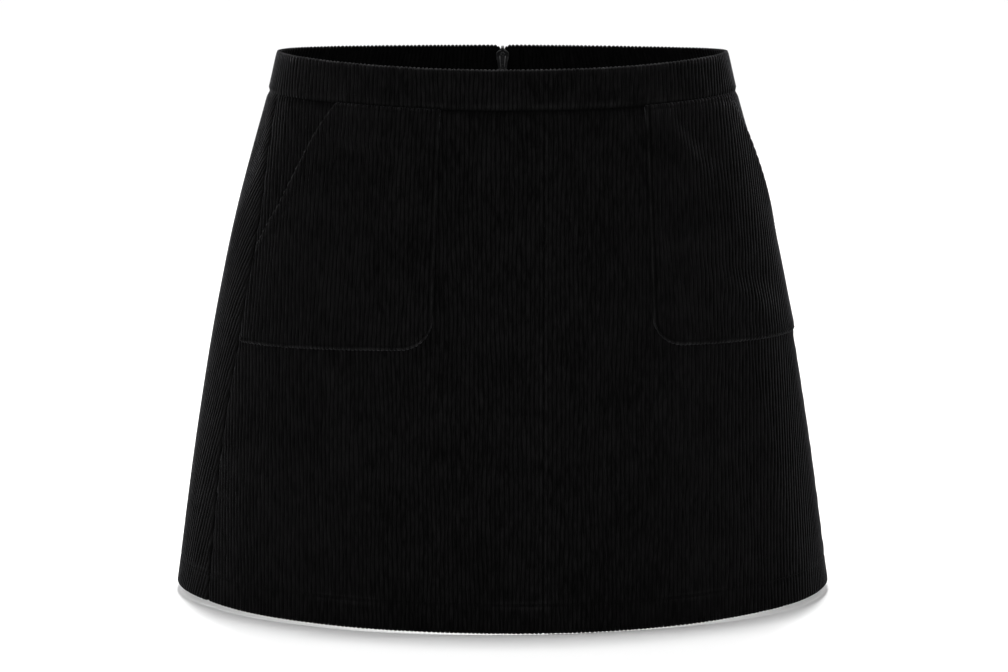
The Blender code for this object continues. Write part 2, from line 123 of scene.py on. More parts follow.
softbox("left_front", (-2.0, -1.9, 1.1), SKIRT_MIDDLE, (1.2, 1.6), 8.5)
softbox("top_front", (-0.3, -1.6, 1.5), SKIRT_MIDDLE, (1.4, 0.6), 7)
softbox("rim_left", (-1.2, 2.0, 0.3), SKIRT_MIDDLE, (0.8, 1.0), 22)
softbox("rim_right", (1.2, 2.0, 0.3), SKIRT_MIDDLE, (0.8, 1.0), 9)
softbox("overhead", (0.0, 0.03, 0.966), (0.0, 0.03, -0.4), (0.16, 0.08), 10.5)

sun_data = bpy.data.lights.new("high_back", "SUN")
sun_data.energy = SUN_POWER
sun_data.angle = SUN_SPREAD
sun = bpy.data.objects.new("high_back", sun_data)
sun.rotation_euler = (SUN_LEAN, 0, 0)
bpy.context.scene.collection.objects.link(sun)


# ---------------------------------------------------------------- the shape that all cloth follows
# The skirt is filled out as on a wearer. A place on it is given by its arc, the distance round
# from the middle of the front (+ towards the wearer's left), and its drop below the waist seam.

# One level of the form. The front dips below the sides, and a front panel is so wide from the
# centre front seam to its side seam.
Ring = namedtuple("Ring", "drop half_width front_depth back_depth front_dip front_panel")
RINGS = (
    Ring(-0.029, 0.1653, 0.0865, 0.0790, 0.0023, 0.2065),
    Ring(0.000, 0.1730, 0.0885, 0.0815, 0.0019, 0.2110),
    Ring(0.030, 0.1821, 0.0915, 0.0885, 0.0021, 0.2145),
    Ring(0.080, 0.1964, 0.0960, 0.0976, 0.0025, 0.2185),
    Ring(0.150, 0.2127, 0.1023, 0.1069, 0.0029, 0.2315),
    Ring(0.250, 0.2313, 0.1100, 0.1130, 0.0036, 0.2520),
    Ring(0.372, 0.2500, 0.1180, 0.1180, 0.0045, 0.2660),
)
DROPS = np.array([ring.drop for ring in RINGS])
BAND_HEIGHT = 0.029
HEM_DROP = 0.372
SEAM_Z = -BAND_HEIGHT / 2

# A place round the skirt, in degrees from the middle of the front (+ towards the wearer's left),
# where the cloth stands out or hangs lower.
Wave = namedtuple("Wave", "angle spread height")
HEM_WAVES = (
    Wave(-62, 11, -0.0016),
    Wave(-24, 14, 0.0010),
    Wave(20, 16, -0.0010),
    Wave(60, 12, 0.0012),
    Wave(112, 12, -0.0016),
    Wave(146, 13, 0.0020),
    Wave(176, 12, -0.0014),
    Wave(-152, 14, 0.0018),
    Wave(-116, 11, -0.0018),
)
WAVES_FROM = 0.10
HEM_SAGS = (Wave(22, 24, 0.0015), Wave(-52, 22, 0.0007))
CLOTH_SHARE = 0.9925
WAIST_EASE = 0.0007
WAIST_EASE_FADE = 0.05

# The waist stands higher at each side: by how much, and how much more towards the front.
SideRise = namedtuple("SideRise", "height more_in_front")
RISE_RIGHT = SideRise(0.0034, 0.0010)
RISE_LEFT = SideRise(0.0032, 0.0016)
SIDE_RISE_FADE = 0.045

CENTRE_FRONT = 0.0295
SEAM_GAP = 0.0003
ZIP_GAP = 0.0010
ZIP_END = 0.160
TABLE_DROPS = np.linspace(-BAND_HEIGHT, HEM_DROP, 135)


def bell(away, width):
    """1 at the middle, fading smoothly to nothing past the width."""
    return np.exp(-((away / width) ** 2))


def ring_value(name, drop):
    """One measure of the rings at any drop, on a smooth curve through them."""
    values = np.array([getattr(ring, name) for ring in RINGS])
    slopes = np.gradient(values, DROPS)
    low = np.clip(np.searchsorted(DROPS, drop, side="right") - 1, 0, len(DROPS) - 2)
    span = DROPS[low + 1] - DROPS[low]
    t = (drop - DROPS[low]) / span
    ends = (2 * t**3 - 3 * t**2 + 1) * values[low] + (3 * t**2 - 2 * t**3) * values[low + 1]
    leans = (t**3 - 2 * t**2 + t) * slopes[low] + (t**3 - t**2) * slopes[low + 1]
    return ends + span * leans


def settle(angle, drop):
    """How far the cloth stands higher (+) or lower than its level section: up at the sides of
    the waist, down a little along the front of the hem."""
    side, front = np.sin(angle), np.cos(angle)
    right = side**2 * (RISE_RIGHT.height + RISE_RIGHT.more_in_front * front)
    left = side**3 * (RISE_LEFT.height + RISE_LEFT.more_in_front * front)
    total = np.where(side < 0, right, left) * math.exp(-max(drop, 0.0) / SIDE_RISE_FADE)
    for sag in HEM_SAGS:
        near = bell(np.degrees(angle) - sag.angle, sag.spread)
        total = total - sag.height * near * np.clip(drop / HEM_DROP, 0, 1) ** 3
    return total


def outward(along):
    """Level directions square to the steps along a curve."""
    out = np.stack([along[:, 1], -along[:, 0]], axis=1)
    return out / np.linalg.norm(out, axis=1, keepdims=True)


def ring_curve(drop):
    """The level section at a drop: arcs, then the place and outward direction at each, and half
    the distance round."""
    angle = np.radians(np.linspace(-225, 225, 1801))
    front, back = ring_value("front_depth", drop), ring_value("back_depth", drop)
    depth = np.where(np.cos(angle) > 0, front, back)
    wide = ring_value("half_width", drop) - WAIST_EASE * bell(max(drop, 0.0), WAIST_EASE_FADE)
    out = outward(np.stack([wide * np.cos(angle), depth * np.sin(angle)], axis=1))
    grow = max(0.0, (drop - WAVES_FROM) / (HEM_DROP - WAVES_FROM)) ** 1.5
    stand = np.zeros_like(angle)
    for wave in HEM_WAVES:
        for turn in (-360, 0, 360):
            stand += grow * wave.height * bell(np.degrees(angle) - wave.angle - turn, wave.spread)
    flat = np.stack([wide * np.sin(angle), -depth * np.cos(angle)], axis=1) + stand[:, None] * out
    height = SEAM_Z - drop - ring_value("front_dip", drop) * np.clip(np.cos(angle), 0, 1) ** 2
    height = height + settle(angle, drop)
    step = np.hypot(*np.diff(flat, axis=0).T)
    arc = np.concatenate([[0], np.cumsum(step)])
    arc -= np.interp(0.0, angle, arc)
    out = outward(np.gradient(flat, axis=0))
    half_loop = (np.interp(math.pi, angle, arc) - np.interp(-math.pi, angle, arc)) / 2
    return arc, np.column_stack([flat, height, out]), half_loop


CURVES = [ring_curve(drop) for drop in TABLE_DROPS]
HALF_LOOPS = [curve[2] for curve in CURVES]


def form(arc, drop):
    """Places and outward directions of the form at arrays of arcs and drops."""
    arc, drop = np.broadcast_arrays(np.asarray(arc, float), np.asarray(drop, float))
    found = np.zeros((*arc.shape, 5))
    low = np.clip(np.searchsorted(TABLE_DROPS, drop, side="right") - 1, 0, len(CURVES) - 2)
    for row in np.unique(low):
        here = low == row
        share = (drop[here] - TABLE_DROPS[row]) / (TABLE_DROPS[row + 1] - TABLE_DROPS[row])
        for axis in range(5):
            above, below = (
                np.interp(arc[here], CURVES[r][0], CURVES[r][1][:, axis]) for r in (row, row + 1)
            )
            found[here, axis] = above + share * (below - above)
    places, out = found[..., :3] * (CLOTH_SHARE, 1, 1), found[..., 3:]
    out = out / np.linalg.norm(out, axis=-1, keepdims=True)
    return places, np.concatenate([out, np.zeros((*arc.shape, 1))], axis=-1)


def front_width(drop):
    return ring_value("front_panel", drop)


def side_seam(side, drop):
    return CENTRE_FRONT + side * front_width(drop)


def back_seam(side, drop):
    return side * np.interp(drop, TABLE_DROPS, HALF_LOOPS)


# Soft creases of the hanging cloth: a line from one place to another, how wide it is to each
# side, and how far the cloth stands out (+) or falls in (-) along it.
Crease = namedtuple("Crease", "arc drop to_arc to_drop spread height")
CREASES = (
    Crease(0.002, 0.035, 0.020, 0.120, 0.010, -0.0012),
    Crease(0.022, 0.030, 0.034, 0.130, 0.011, 0.0008),
    Crease(0.116, 0.010, 0.152, 0.055, 0.008, 0.0018),
    Crease(0.130, 0.008, 0.166, 0.046, 0.008, -0.0015),
    Crease(0.140, 0.116, 0.214, 0.156, 0.009, 0.0017),
    Crease(0.150, 0.104, 0.216, 0.136, 0.009, -0.0013),
    Crease(0.028, 0.245, 0.092, 0.249, 0.013, -0.0009),
    Crease(-0.128, 0.0225, -0.056, 0.0255, 0.0045, 0.0019),
    Crease(-0.126, 0.033, -0.056, 0.036, 0.0060, -0.0017),
    Crease(-0.120, 0.040, -0.118, 0.150, 0.016, -0.0010),
    Crease(-0.060, 0.020, -0.066, 0.110, 0.012, 0.0007),
    Crease(-0.030, 0.190, -0.046, 0.330, 0.020, 0.0009),
    Crease(-0.160, 0.200, -0.186, 0.350, 0.014, 0.0010),
    Crease(-0.130, 0.220, -0.146, 0.360, 0.016, -0.0010),
    Crease(0.120, 0.230, 0.140, 0.360, 0.018, 0.0010),
    Crease(0.180, 0.200, 0.206, 0.350, 0.014, -0.0011),
    Crease(-0.195, 0.020, -0.214, 0.070, 0.008, -0.0009),
    Crease(-0.205, 0.060, -0.232, 0.120, 0.009, 0.0010),
    Crease(0.200, 0.026, 0.232, 0.090, 0.008, 0.0015),
    Crease(0.300, 0.050, 0.330, 0.180, 0.014, -0.0010),
    Crease(0.350, 0.030, 0.372, 0.120, 0.010, 0.0010),
    Crease(0.380, 0.200, 0.430, 0.340, 0.016, 0.0011),
    Crease(0.470, 0.150, 0.500, 0.300, 0.016, -0.0010),
    Crease(-0.300, 0.050, -0.334, 0.170, 0.014, 0.0010),
    Crease(-0.360, 0.030, -0.380, 0.130, 0.010, -0.0009),
    Crease(-0.390, 0.180, -0.420, 0.330, 0.018, -0.0010),
    Crease(-0.470, 0.220, -0.500, 0.350, 0.014, 0.0010),
)


def crease_lift(arc, drop):
    """How far the creases move the cloth at arrays of arcs and drops."""
    total = np.zeros(np.broadcast(arc, drop).shape)
    for crease in CREASES:
        run, fall = crease.to_arc - crease.arc, crease.to_drop - crease.drop
        length = math.hypot(run, fall)
        along = ((arc - crease.arc) * run + (drop - crease.drop) * fall) / length**2
        near = np.clip(along, 0, 1)
        gap = np.hypot(arc - crease.arc - near * run, drop - crease.drop - near * fall)
        fade = np.sin(np.pi * np.clip(0.5 + (near - 0.5) * 0.8, 0, 1))
        total += crease.height * fade * bell(gap, crease.spread)
    return total


# ---------------------------------------------------------------- corduroy
# Black 8-wale cotton corduroy: soft cords of cut pile on a twill ground. The cords are modelled,
# and the finish carries the nap: each tuft and the streaks along a cord. Where the pile stands
# low, in the grooves, along seams and where it is pressed, the colour is darkened as painted
# shade, and folded edges, seams and stitch lines are lightened as worn pile and painted highlight.

MM = 0.001
WALE = 3.12 * MM
BLACK_PILE = (0.0060, 0.0058, 0.0060)
# Painted shade: the colour the cloth takes where its pile stands low, in grooves and along seams.
GROOVE_SHADE_BLACK = (0.0003, 0.0003, 0.0003)
# Worn pile and painted highlight: folded edges, seams and stitch lines are lightened towards this.
WEAR_AND_HIGHLIGHT_BLACK = (0.0320, 0.0315, 0.0320)
WRONG_SIDE = (0.0012, 0.0012, 0.0012)
PILE_SHEEN = 0.15
SHEEN_TINT = (0.9, 0.9, 0.95)

# What lightens and darkens the pile, each as sizes across and down the cloth, and how strongly.
TUFT_SIZE, TUFT_SHADE = 0.45 * MM, 2.3
HAIR_SIZE, HAIR_SHADE = (WALE * 0.24, 8.0 * MM), 1.5
PATCH_SIZE, PATCH_SHADE = (0.028, 0.032), 0.6
CORD_STRETCH, CORD_SHADE = 0.013, 1.05
# How quickly the painted groove shade gives way to the pile's colour as the pile rises.
GROOVE_SHADE_POWER = 0.62


def group_socket(tree, name, kind, out=False, value=None):
    socket = tree.interface.new_socket(
        name=name, in_out="OUTPUT" if out else "INPUT", socket_type=kind
    )
    if value is not None:
        socket.default_value = value


def add(tree, kind, **settings):
    """A node, with its properties by name and its input values by position or name."""
    node = tree.nodes.new(kind)
    for key, value in settings.pop("inputs", {}).items():
        node.inputs[key].default_value = value
    for key, value in settings.items():
        setattr(node, key, value)
    return node


def math_node(tree, operation, first, second=None, clamp=False):
    node = add(tree, "ShaderNodeMath", operation=operation, use_clamp=clamp)
    for index, value in enumerate((first, second)):
        if value is None:
            continue
        if isinstance(value, (int, float)):
            node.inputs[index].default_value = value
        else:
            tree.links.new(value, node.inputs[index])
    return node.outputs[0]


def nap_group():
    """Colour shade and height of cut pile, from the cloth's own grain (across, drop, pile)."""
    tree = bpy.data.node_groups.new("nap", "ShaderNodeTree")
    group_socket(tree, "Grain", "NodeSocketVector")
    group_socket(tree, "Tuft", "NodeSocketFloat", value=TUFT_SIZE)
    group_socket(tree, "Streak", "NodeSocketFloat", value=HAIR_SIZE[1])
    group_socket(tree, "Shade", "NodeSocketFloat", out=True)
    group_socket(tree, "Height", "NodeSocketFloat", out=True)
    enter = tree.nodes.new("NodeGroupInput").outputs
    leave = tree.nodes.new("NodeGroupOutput").inputs
    parts = add(tree, "ShaderNodeSeparateXYZ")
    tree.links.new(enter["Grain"], parts.inputs[0])
    across, drop, pile = parts.outputs

    def noise(first, second, detail, seed):
        join = add(tree, "ShaderNodeCombineXYZ", inputs={2: seed})
        tree.links.new(first, join.inputs[0])
        tree.links.new(second, join.inputs[1])
        made = add(tree, "ShaderNodeTexNoise", inputs={"Scale": 1.0, "Detail": detail})
        tree.links.new(join.outputs[0], made.inputs["Vector"])
        return made.outputs["Fac"]

    def grain_noise(across_size, drop_size, detail, seed):
        first = math_node(tree, "DIVIDE", across, across_size)
        return noise(first, math_node(tree, "DIVIDE", drop, drop_size), detail, seed)

    def shade_by(made, strength):
        return math_node(tree, "MULTIPLY", math_node(tree, "SUBTRACT", made, 0.5), strength)

    tuft = grain_noise(enter["Tuft"], enter["Tuft"], 1.0, 3.1)
    hair = grain_noise(HAIR_SIZE[0], enter["Streak"], 2.0, 7.7)
    patch = grain_noise(*PATCH_SIZE, 3.0, 1.3)
    wale = math_node(tree, "FLOOR", math_node(tree, "DIVIDE", across, WALE))
    cord_start = math_node(tree, "MULTIPLY", wale, 3.7)
    cord = noise(cord_start, math_node(tree, "DIVIDE", drop, CORD_STRETCH), 3.0, 0.0)
    shade = math_node(tree, "ADD", shade_by(hair, HAIR_SHADE), shade_by(cord, CORD_SHADE))
    shade = math_node(tree, "ADD", shade, shade_by(tuft, TUFT_SHADE))
    shade = math_node(tree, "ADD", shade, shade_by(patch, PATCH_SHADE))
    shade = math_node(tree, "ADD", shade, 0.5, clamp=True)
    # Painted shade: where the pile stands low the colour falls towards the groove black.
    groove_shade = math_node(tree, "POWER", pile, GROOVE_SHADE_POWER)
    shade = math_node(tree, "MULTIPLY", shade, groove_shade, clamp=True)
    height = math_node(tree, "ADD", tuft, math_node(tree, "MULTIPLY", hair, 0.6))
    tree.links.new(shade, leave["Shade"])
    tree.links.new(height, leave["Height"])
    return tree


NAP = nap_group()


def grain_of(tree):
    """The cloth's own coordinates, kept on its mesh."""
    return add(tree, "ShaderNodeAttribute", attribute_name="grain").outputs["Vector"]


def cloth_finish(name, roughness):
    """A material with no gloss, and its nodes and shader."""
    made = bpy.data.materials.new(name)
    made.use_nodes = True
    shader = made.node_tree.nodes["Principled BSDF"]
    shader.inputs["Roughness"].default_value = roughness
    shader.inputs["Specular IOR Level"].default_value = 0.02
    return made, made.node_tree, shader


def raise_by(tree, height, shader, strength, distance):
    """Bump from a height, put on the shader."""
    bump = add(tree, "ShaderNodeBump", inputs={"Strength": strength, "Distance": distance})
    tree.links.new(height, bump.inputs["Height"])
    tree.links.new(bump.outputs["Normal"], shader.inputs["Normal"])


def corduroy():
    """The right side of the cloth."""
    made, tree, shader = cloth_finish("corduroy", 0.85)
    shader.inputs["Sheen Weight"].default_value = PILE_SHEEN
    shader.inputs["Sheen Roughness"].default_value = 0.28
    shader.inputs["Sheen Tint"].default_value = (*SHEEN_TINT, 1)
    nap = add(tree, "ShaderNodeGroup", node_tree=NAP)
    tree.links.new(grain_of(tree), nap.inputs["Grain"])
    # Painted shade in the grooves: the groove black mixed in where the pile stands low.
    pile = add(tree, "ShaderNodeMix", data_type="RGBA")
    pile.inputs["A"].default_value = (*GROOVE_SHADE_BLACK, 1)
    pile.inputs["B"].default_value = (*BLACK_PILE, 1)
    tree.links.new(nap.outputs["Shade"], pile.inputs["Factor"])
    # Worn pile and painted highlight: each point's own value lightens the colour towards the
    # lighter black.
    wear_and_highlight_fac = add(tree, "ShaderNodeAttribute", attribute_name="wear_and_highlight").outputs["Fac"]
    standing = math_node(tree, "ADD", nap.outputs["Shade"], 0.2)
    wear_and_highlight_mix = add(tree, "ShaderNodeMix", data_type="RGBA")
    wear_and_highlight_mix.inputs["B"].default_value = (*WEAR_AND_HIGHLIGHT_BLACK, 1)
    tree.links.new(math_node(tree, "MULTIPLY", wear_and_highlight_fac, standing, clamp=True), wear_and_highlight_mix.inputs["Factor"])
    tree.links.new(pile.outputs["Result"], wear_and_highlight_mix.inputs["A"])
    tree.links.new(wear_and_highlight_mix.outputs["Result"], shader.inputs["Base Color"])
    raise_by(tree, nap.outputs["Height"], shader, 0.5, 0.25 * MM)
    return made


def wrong_side():
    """The inside of the cloth: a plain twill with no pile."""
    made, tree, shader = cloth_finish("corduroy_inside", 0.9)
    shader.inputs["Base Color"].default_value = (*WRONG_SIDE, 1)
    lean = (0, 0, math.radians(35))
    scale = add(tree, "ShaderNodeMapping", inputs={"Scale": (1000, 1000, 0), "Rotation": lean})
    tree.links.new(grain_of(tree), scale.inputs["Vector"])
    settings = {"Scale": 0.7, "Distortion": 0.6}
    twill = add(tree, "ShaderNodeTexWave", wave_profile="SIN", inputs=settings)
    tree.links.new(scale.outputs[0], twill.inputs["Vector"])
    raise_by(tree, twill.outputs["Fac"], shader, 0.5, 0.15 * MM)
    return made


CLOTH = (corduroy(), wrong_side())


# ---------------------------------------------------------------- the four panels
# Two fronts and two backs of corduroy, cut with the cords straight down the centre seams and
# flared at the side seams, where the cords run out. Each hem is turned up 22 mm and stitched.

GROUND = 1.0 * MM
RIB = 0.8 * MM
PRESSED_RIB = 0.7
PRESSED_TO = 0.006
HEM_TURN = 0.022
HEM_INSIDE = -1.1 * MM
HEM_STITCH = 0.0205
ROW_STEP = 0.004
SEAM_REACH = 1.5 * MM
SEAM_DIP = 0.42 * MM
WAIST_DIP = 0.5 * MM
PUCKER = 0.30 * MM
SEAM_LAP = 0.01 * MM
HEM_FOLD = HEM_DROP - 0.7 * MM
TURNED_IN = HEM_INSIDE + 0.4 * MM
STRAY_FADE = 0.012
# Worn pile and painted highlight beside the seams, on the hem's fold and along the hem's stitching.
SEAM_WEAR_AND_HIGHLIGHT, HEM_FOLD_WEAR_AND_HIGHLIGHT, HEM_STITCH_WEAR_AND_HIGHLIGHT = 0.13, 0.20, 0.16

# One cord across its width: share of the wale, share of the pile's height.
CordPoint = namedtuple("CordPoint", "across height")
CORD = (
    CordPoint(0.00, 0.00),
    CordPoint(0.13, 0.66),
    CordPoint(0.34, 0.98),
    CordPoint(0.66, 0.98),
    CordPoint(0.87, 0.66),
)

# How the cords wander: length of one wave across the cloth and down it, and how far it goes.
Stray = namedtuple("Stray", "across drop size")
STRAYS = (
    Stray(0.090, 0.210, 0.55 * MM),
    Stray(-0.060, 0.120, 0.35 * MM),
    Stray(0.023, -0.067, 0.20 * MM),
    Stray(-0.0127, 0.041, 0.14 * MM),
    Stray(0.0091, 0.029, 0.11 * MM),
)

# A row of points across a piece: its drop, its lift out from the form, how much of the pile
# stands there, which way it points in degrees (0 out, 90 down, 180 in), and how far the row is
# let down below its drop.
Row = namedtuple("Row", "drop lift pile turn sink")


def wale_columns(width):
    """Distances across for the points of each cord, with their heights."""
    wales = range(int(math.ceil(width / WALE)) + 1)
    across = np.array([(wale + point.across) * WALE for wale in wales for point in CORD])
    height = np.array([point.height for _ in wales for point in CORD])
    keep = (across > 0) & (across < width)
    return (
        np.concatenate([[0.0], across[keep], [width]]),
        np.concatenate([[0.0], height[keep], [0.0]]),
    )


def seam_fade(gap):
    """How much of the pile stands at a distance from a sewn edge. Where little stands, the finish
    paints the groove-black shade.
    """
    t = np.clip(gap / SEAM_REACH, 0, 1)
    return t * t * (3 - 2 * t)


def ripple(along, length, start=0.0):
    return np.sin(along * 2 * np.pi / length + start)


def pucker(drop, gap, seed):
    """The small ripples that a seam's stitches draw into the cloth beside it."""
    rise = ripple(drop, 0.019, seed) + 0.7 * ripple(drop, 0.0127, 2.3 * seed)
    return PUCKER * rise * np.exp(-gap / 0.007)


def stray(across, drop, seed):
    """How far the cords wander to the side as they run down the cloth."""
    total = 0 * (across + drop)
    for number, wave in enumerate(STRAYS):
        turn = across / wave.across + drop / wave.drop
        total = total + wave.size * np.sin(2 * np.pi * turn + seed * (number + 1.3))
    return total


def zipper(left, right):
    """Triangles between two chains of (key, vertex), in step with their keys."""
    i, j, faces = 0, 0, []
    while i < len(left) - 1 or j < len(right) - 1:
        if j == len(right) - 1 or (i < len(left) - 1 and left[i + 1][0] <= right[j + 1][0]):
            faces.append((left[i][1], left[i + 1][1], right[j][1]))
            i += 1
        else:
            faces.append((left[i][1], right[j + 1][1], right[j][1]))
            j += 1
    return faces


def sew(name, points, grain, wear_and_highlight, outer_rows, inside_from, materials=CLOTH):
    """A closed piece of cloth from rows of points that run round its section.

    The rows go down the outer face, round the lower fold and up the inner face. From the row
    inside_from on, they show the second material.
    """
    rows, columns = points.shape[:2]
    index = np.arange(rows * columns).reshape(rows, columns)
    below = np.roll(index, -1, axis=0)
    quads = np.stack([index[:, :-1], index[:, 1:], below[:, 1:], below[:, :-1]], axis=-1)
    faces = quads.reshape(-1, 4).tolist()
    slots = np.repeat([1 if row >= inside_from else 0 for row in range(rows)], columns - 1).tolist()
    for column in (0, columns - 1):
        chain = [(-float(points[r, column, 2]), int(index[r, column])) for r in range(rows)]
        ends = zipper(chain[:outer_rows], chain[: outer_rows - 1 : -1])
        faces += ends
        slots += [0] * len(ends)
    mesh = bpy.data.meshes.new(name)
    mesh.from_pydata(points.reshape(-1, 3).tolist(), [], faces)
    mesh.polygons.foreach_set("material_index", slots)
    kept = mesh.attributes.new("grain", "FLOAT_VECTOR", "POINT")
    kept.data.foreach_set("vector", grain.reshape(-1).astype(np.float32))
    # Where the cloth shows worn pile and a painted highlight, kept for its finish.
    kept = mesh.attributes.new("wear_and_highlight", "FLOAT", "POINT")
    kept.data.foreach_set("value", wear_and_highlight.reshape(-1).astype(np.float32))
    for material in materials:
        mesh.materials.append(material)
    bm = bmesh.new()
    bm.from_mesh(mesh)
    bmesh.ops.remove_doubles(bm, verts=bm.verts, dist=0.002 * MM)
    bmesh.ops.dissolve_degenerate(bm, edges=bm.edges, dist=0.001 * MM)
    bmesh.ops.recalc_face_normals(bm, faces=bm.faces)
    bm.to_mesh(mesh)
    bm.free()
    mesh.shade_smooth()
    mesh.set_sharp_from_angle(angle=math.radians(62))
    piece = bpy.data.objects.new(name, mesh)
    bpy.context.scene.collection.objects.link(piece)
    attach(piece, "skirt")
    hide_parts(name)
    return piece


def fold_rows(drop, lift_out, lift_in, steps, sign=1):
    """The rows round a folded edge, from the outer face to the inner one."""
    middle, radius = (lift_out + lift_in) / 2, (lift_out - lift_in) / 2
    rows = []
    for step in range(steps + 1):
        turn = 180 * step / steps
        lift = middle + radius * math.cos(math.radians(turn))
        sink = sign * radius * math.sin(math.radians(turn))
        rows.append(Row(drop, lift, 1.0, sign * turn, sink))
    return rows


def lay(arcs, drops, lifts, piles, turns, sinks):
    """Points laid on the form, with the pile standing out in its own direction."""
    places, out = form(arcs, drops)
    turn = np.radians(turns)
    out_by = lifts + piles * np.cos(turn)
    down_by = sinks + piles * np.sin(turn)
    return places + out * out_by[..., None] - np.array([0, 0, 1.0]) * down_by[..., None]


def columns_of(rows):
    """The drop, lift, pile, turn and sink of the rows, each as a column."""
    return [np.array(values, float)[:, None] for values in zip(*rows)]


def hem_press(drop):
    """Pile left standing beside the hem's stitching."""
    return 1 - 0.55 * bell(drop - HEM_DROP + HEM_STITCH, 0.9 * MM)


def panel_rows():
    """The outer face down to the hem's fold, the turned-up hem, and the plain inside above it."""
    stitch = HEM_DROP - HEM_STITCH
    raw_edge = HEM_DROP - HEM_TURN
    at_stitch = [stitch + away * MM for away in (-1.8, -0.8, 0.0, 0.8, 1.8)]
    drops = np.arange(-SEAM_LAP, HEM_FOLD - ROW_STEP / 2, ROW_STEP)
    clear = [d for d in drops if min(abs(d - near) for near in at_stitch) > 1.2 * MM]
    outer = [Row(d, GROUND, 1.0, 0, 0) for d in sorted(clear + at_stitch)]
    outer += fold_rows(HEM_FOLD, GROUND, TURNED_IN, 6)
    up = np.arange(HEM_FOLD - ROW_STEP, raw_edge, -ROW_STEP)
    turned = [Row(d, TURNED_IN, 0.5, 180, 0) for d in up]
    turned += [Row(raw_edge, TURNED_IN, 0.3, 180, 0)]
    plain = [raw_edge - 0.3 * MM, *np.linspace(raw_edge - 0.012, -SEAM_LAP, 26)]
    return outer, turned, [Row(d, 0.0, 0.0, 0, 0) for d in plain]


def panel(name, arc_of, width_of, edge_of, seed):
    """A panel, from where its points lie, and its width and near edge at each drop."""
    outer, turned, plain = panel_rows()
    row_drop, row_lift, row_pile, row_turn, row_sink = columns_of(outer + turned + plain)
    across, height = wale_columns(float(width_of(HEM_DROP)))
    wide, edge = width_of(row_drop), edge_of(row_drop)
    across = np.minimum(np.maximum(across[None, :], edge), wide)
    drop, turn, sink = (column + 0 * across for column in (row_drop, row_turn, row_sink))
    outside = turn == 0
    gaps = np.minimum(across - edge, wide - across)
    arc = arc_of(across + stray(across, drop, seed) * np.clip(gaps / STRAY_FADE, 0, 1), drop)
    pressed = PRESSED_RIB + (1 - PRESSED_RIB) * np.clip(drop / PRESSED_TO, 0, 1)
    pile = RIB * height[None, :] * seam_fade(gaps) * hem_press(drop)
    # Pressed near the waist and let down almost to nothing within a millimetre of the seam; through
    # the finish this also paints groove-black shade along the waist seam.
    pile = pile * pressed * np.clip(drop / (1.2 * MM), 0.05, 1) * row_pile
    lift = row_lift + crease_lift(arc, drop)
    lift = lift - SEAM_DIP * bell(gaps, 1.3 * MM) * outside
    lift = lift + pucker(drop, wide - across, seed) + 0.6 * pucker(drop, across - edge, seed + 2)
    lift = lift - WAIST_DIP * bell(drop, 1.6 * MM) * outside
    points = lay(arc, drop, lift, pile, turn, sink)
    grain = np.stack([across + seed, drop, pile / RIB], axis=-1)
    # Worn pile and painted highlight: light lines beside the seams, on the hem's fold and along its
    # stitching, broken here and there.
    seam_mark_ripple = 0.5 + 0.5 * ripple(drop, 0.017, 3 * seed) * ripple(drop, 0.0093)
    wear_and_highlight = SEAM_WEAR_AND_HIGHLIGHT * seam_mark_ripple * bell(gaps - 1.8 * MM, 1.6 * MM)
    wear_and_highlight = wear_and_highlight + HEM_FOLD_WEAR_AND_HIGHLIGHT * bell(drop - HEM_FOLD, 1.5 * MM) * (turn > 0)
    from_stitch = np.abs(drop - HEM_DROP + HEM_STITCH)
    patches = np.clip(ripple(arc, 0.13, 0.9), 0, 1)
    wear_and_highlight = wear_and_highlight + HEM_STITCH_WEAR_AND_HIGHLIGHT * bell(from_stitch - 1.8 * MM, 0.8 * MM) * outside * patches
    piece = sew(name, points, grain, wear_and_highlight, len(outer), len(outer) + len(turned) - 1)
    top_width, hem_width = (float(width_of(level)) for level in (0.0, HEM_DROP))


def front_panel(name, side, seed):
    panel(
        name,
        lambda across, drop: CENTRE_FRONT + side * across,
        lambda drop: front_width(drop) + SEAM_LAP,
        lambda drop: -SEAM_LAP + 0 * drop,
        seed,
    )


def back_panel(name, side, seed):
    zip_foot = (ZIP_END - 0.004, ZIP_END + 0.004)
    panel(
        name,
        lambda across, drop: back_seam(side, drop) - side * across,
        lambda drop: side * (back_seam(side, drop) - side_seam(side, drop)) + SEAM_LAP,
        lambda drop: np.interp(drop, zip_foot, (ZIP_GAP / 2, -SEAM_LAP)),
        seed,
    )


front_panel("front_left", 1, 0.4)
front_panel("front_right", -1, 1.7)
back_panel("back_left", 1, 2.9)
back_panel("back_right", -1, 4.2)


# ---------------------------------------------------------------- the waistband
# One strip of corduroy folded along its top edge, cords upright on both faces, parted at the
# centre back for the zip. Its ends are rounded down a little.

BAND_INSIDE = 0.2 * MM
BAND_OUTSIDE = 1.4 * MM
BAND_FOLD = 1.2 * MM
BAND_TOP = -BAND_HEIGHT + BAND_FOLD
BAND_FOOT = SEAM_LAP
BAND_FAN = 2.6
BAND_TOP_PILE = 1.5
BAND_SEAM_DIP = 0.6 * MM
BAND_WAVE = 0.25 * MM
NOTCH_DEPTH = 3.0 * MM
NOTCH_WIDTH = 6.0 * MM
# Worn pile and painted highlight along the top fold and just above the band's foot.
RIM_WEAR_AND_HIGHLIGHT, BAND_FOOT_WEAR_AND_HIGHLIGHT = 0.6, 0.16


def band_columns(widths):
    """Each point round the band: its share of the way from the centre front to the back (- on
    the wearer's right), the pile's height there, and its distance along the cloth."""
    share, height, cloth = [], [], []
    for side in (-1, 1):
        wales = round(widths[side] / WALE)
        places = [(wale + point.across, point.height) for wale in range(wales) for point in CORD]
        places.append((wales, 0.0))
        places = places[::-1] if side == -1 else places[1:]
        share += [side * across / wales for across, _ in places]
        height += [point_height for _, point_height in places]
        cloth += [side * across * WALE for across, _ in places]
    return (np.array(values)[None, :] for values in (share, height, cloth))


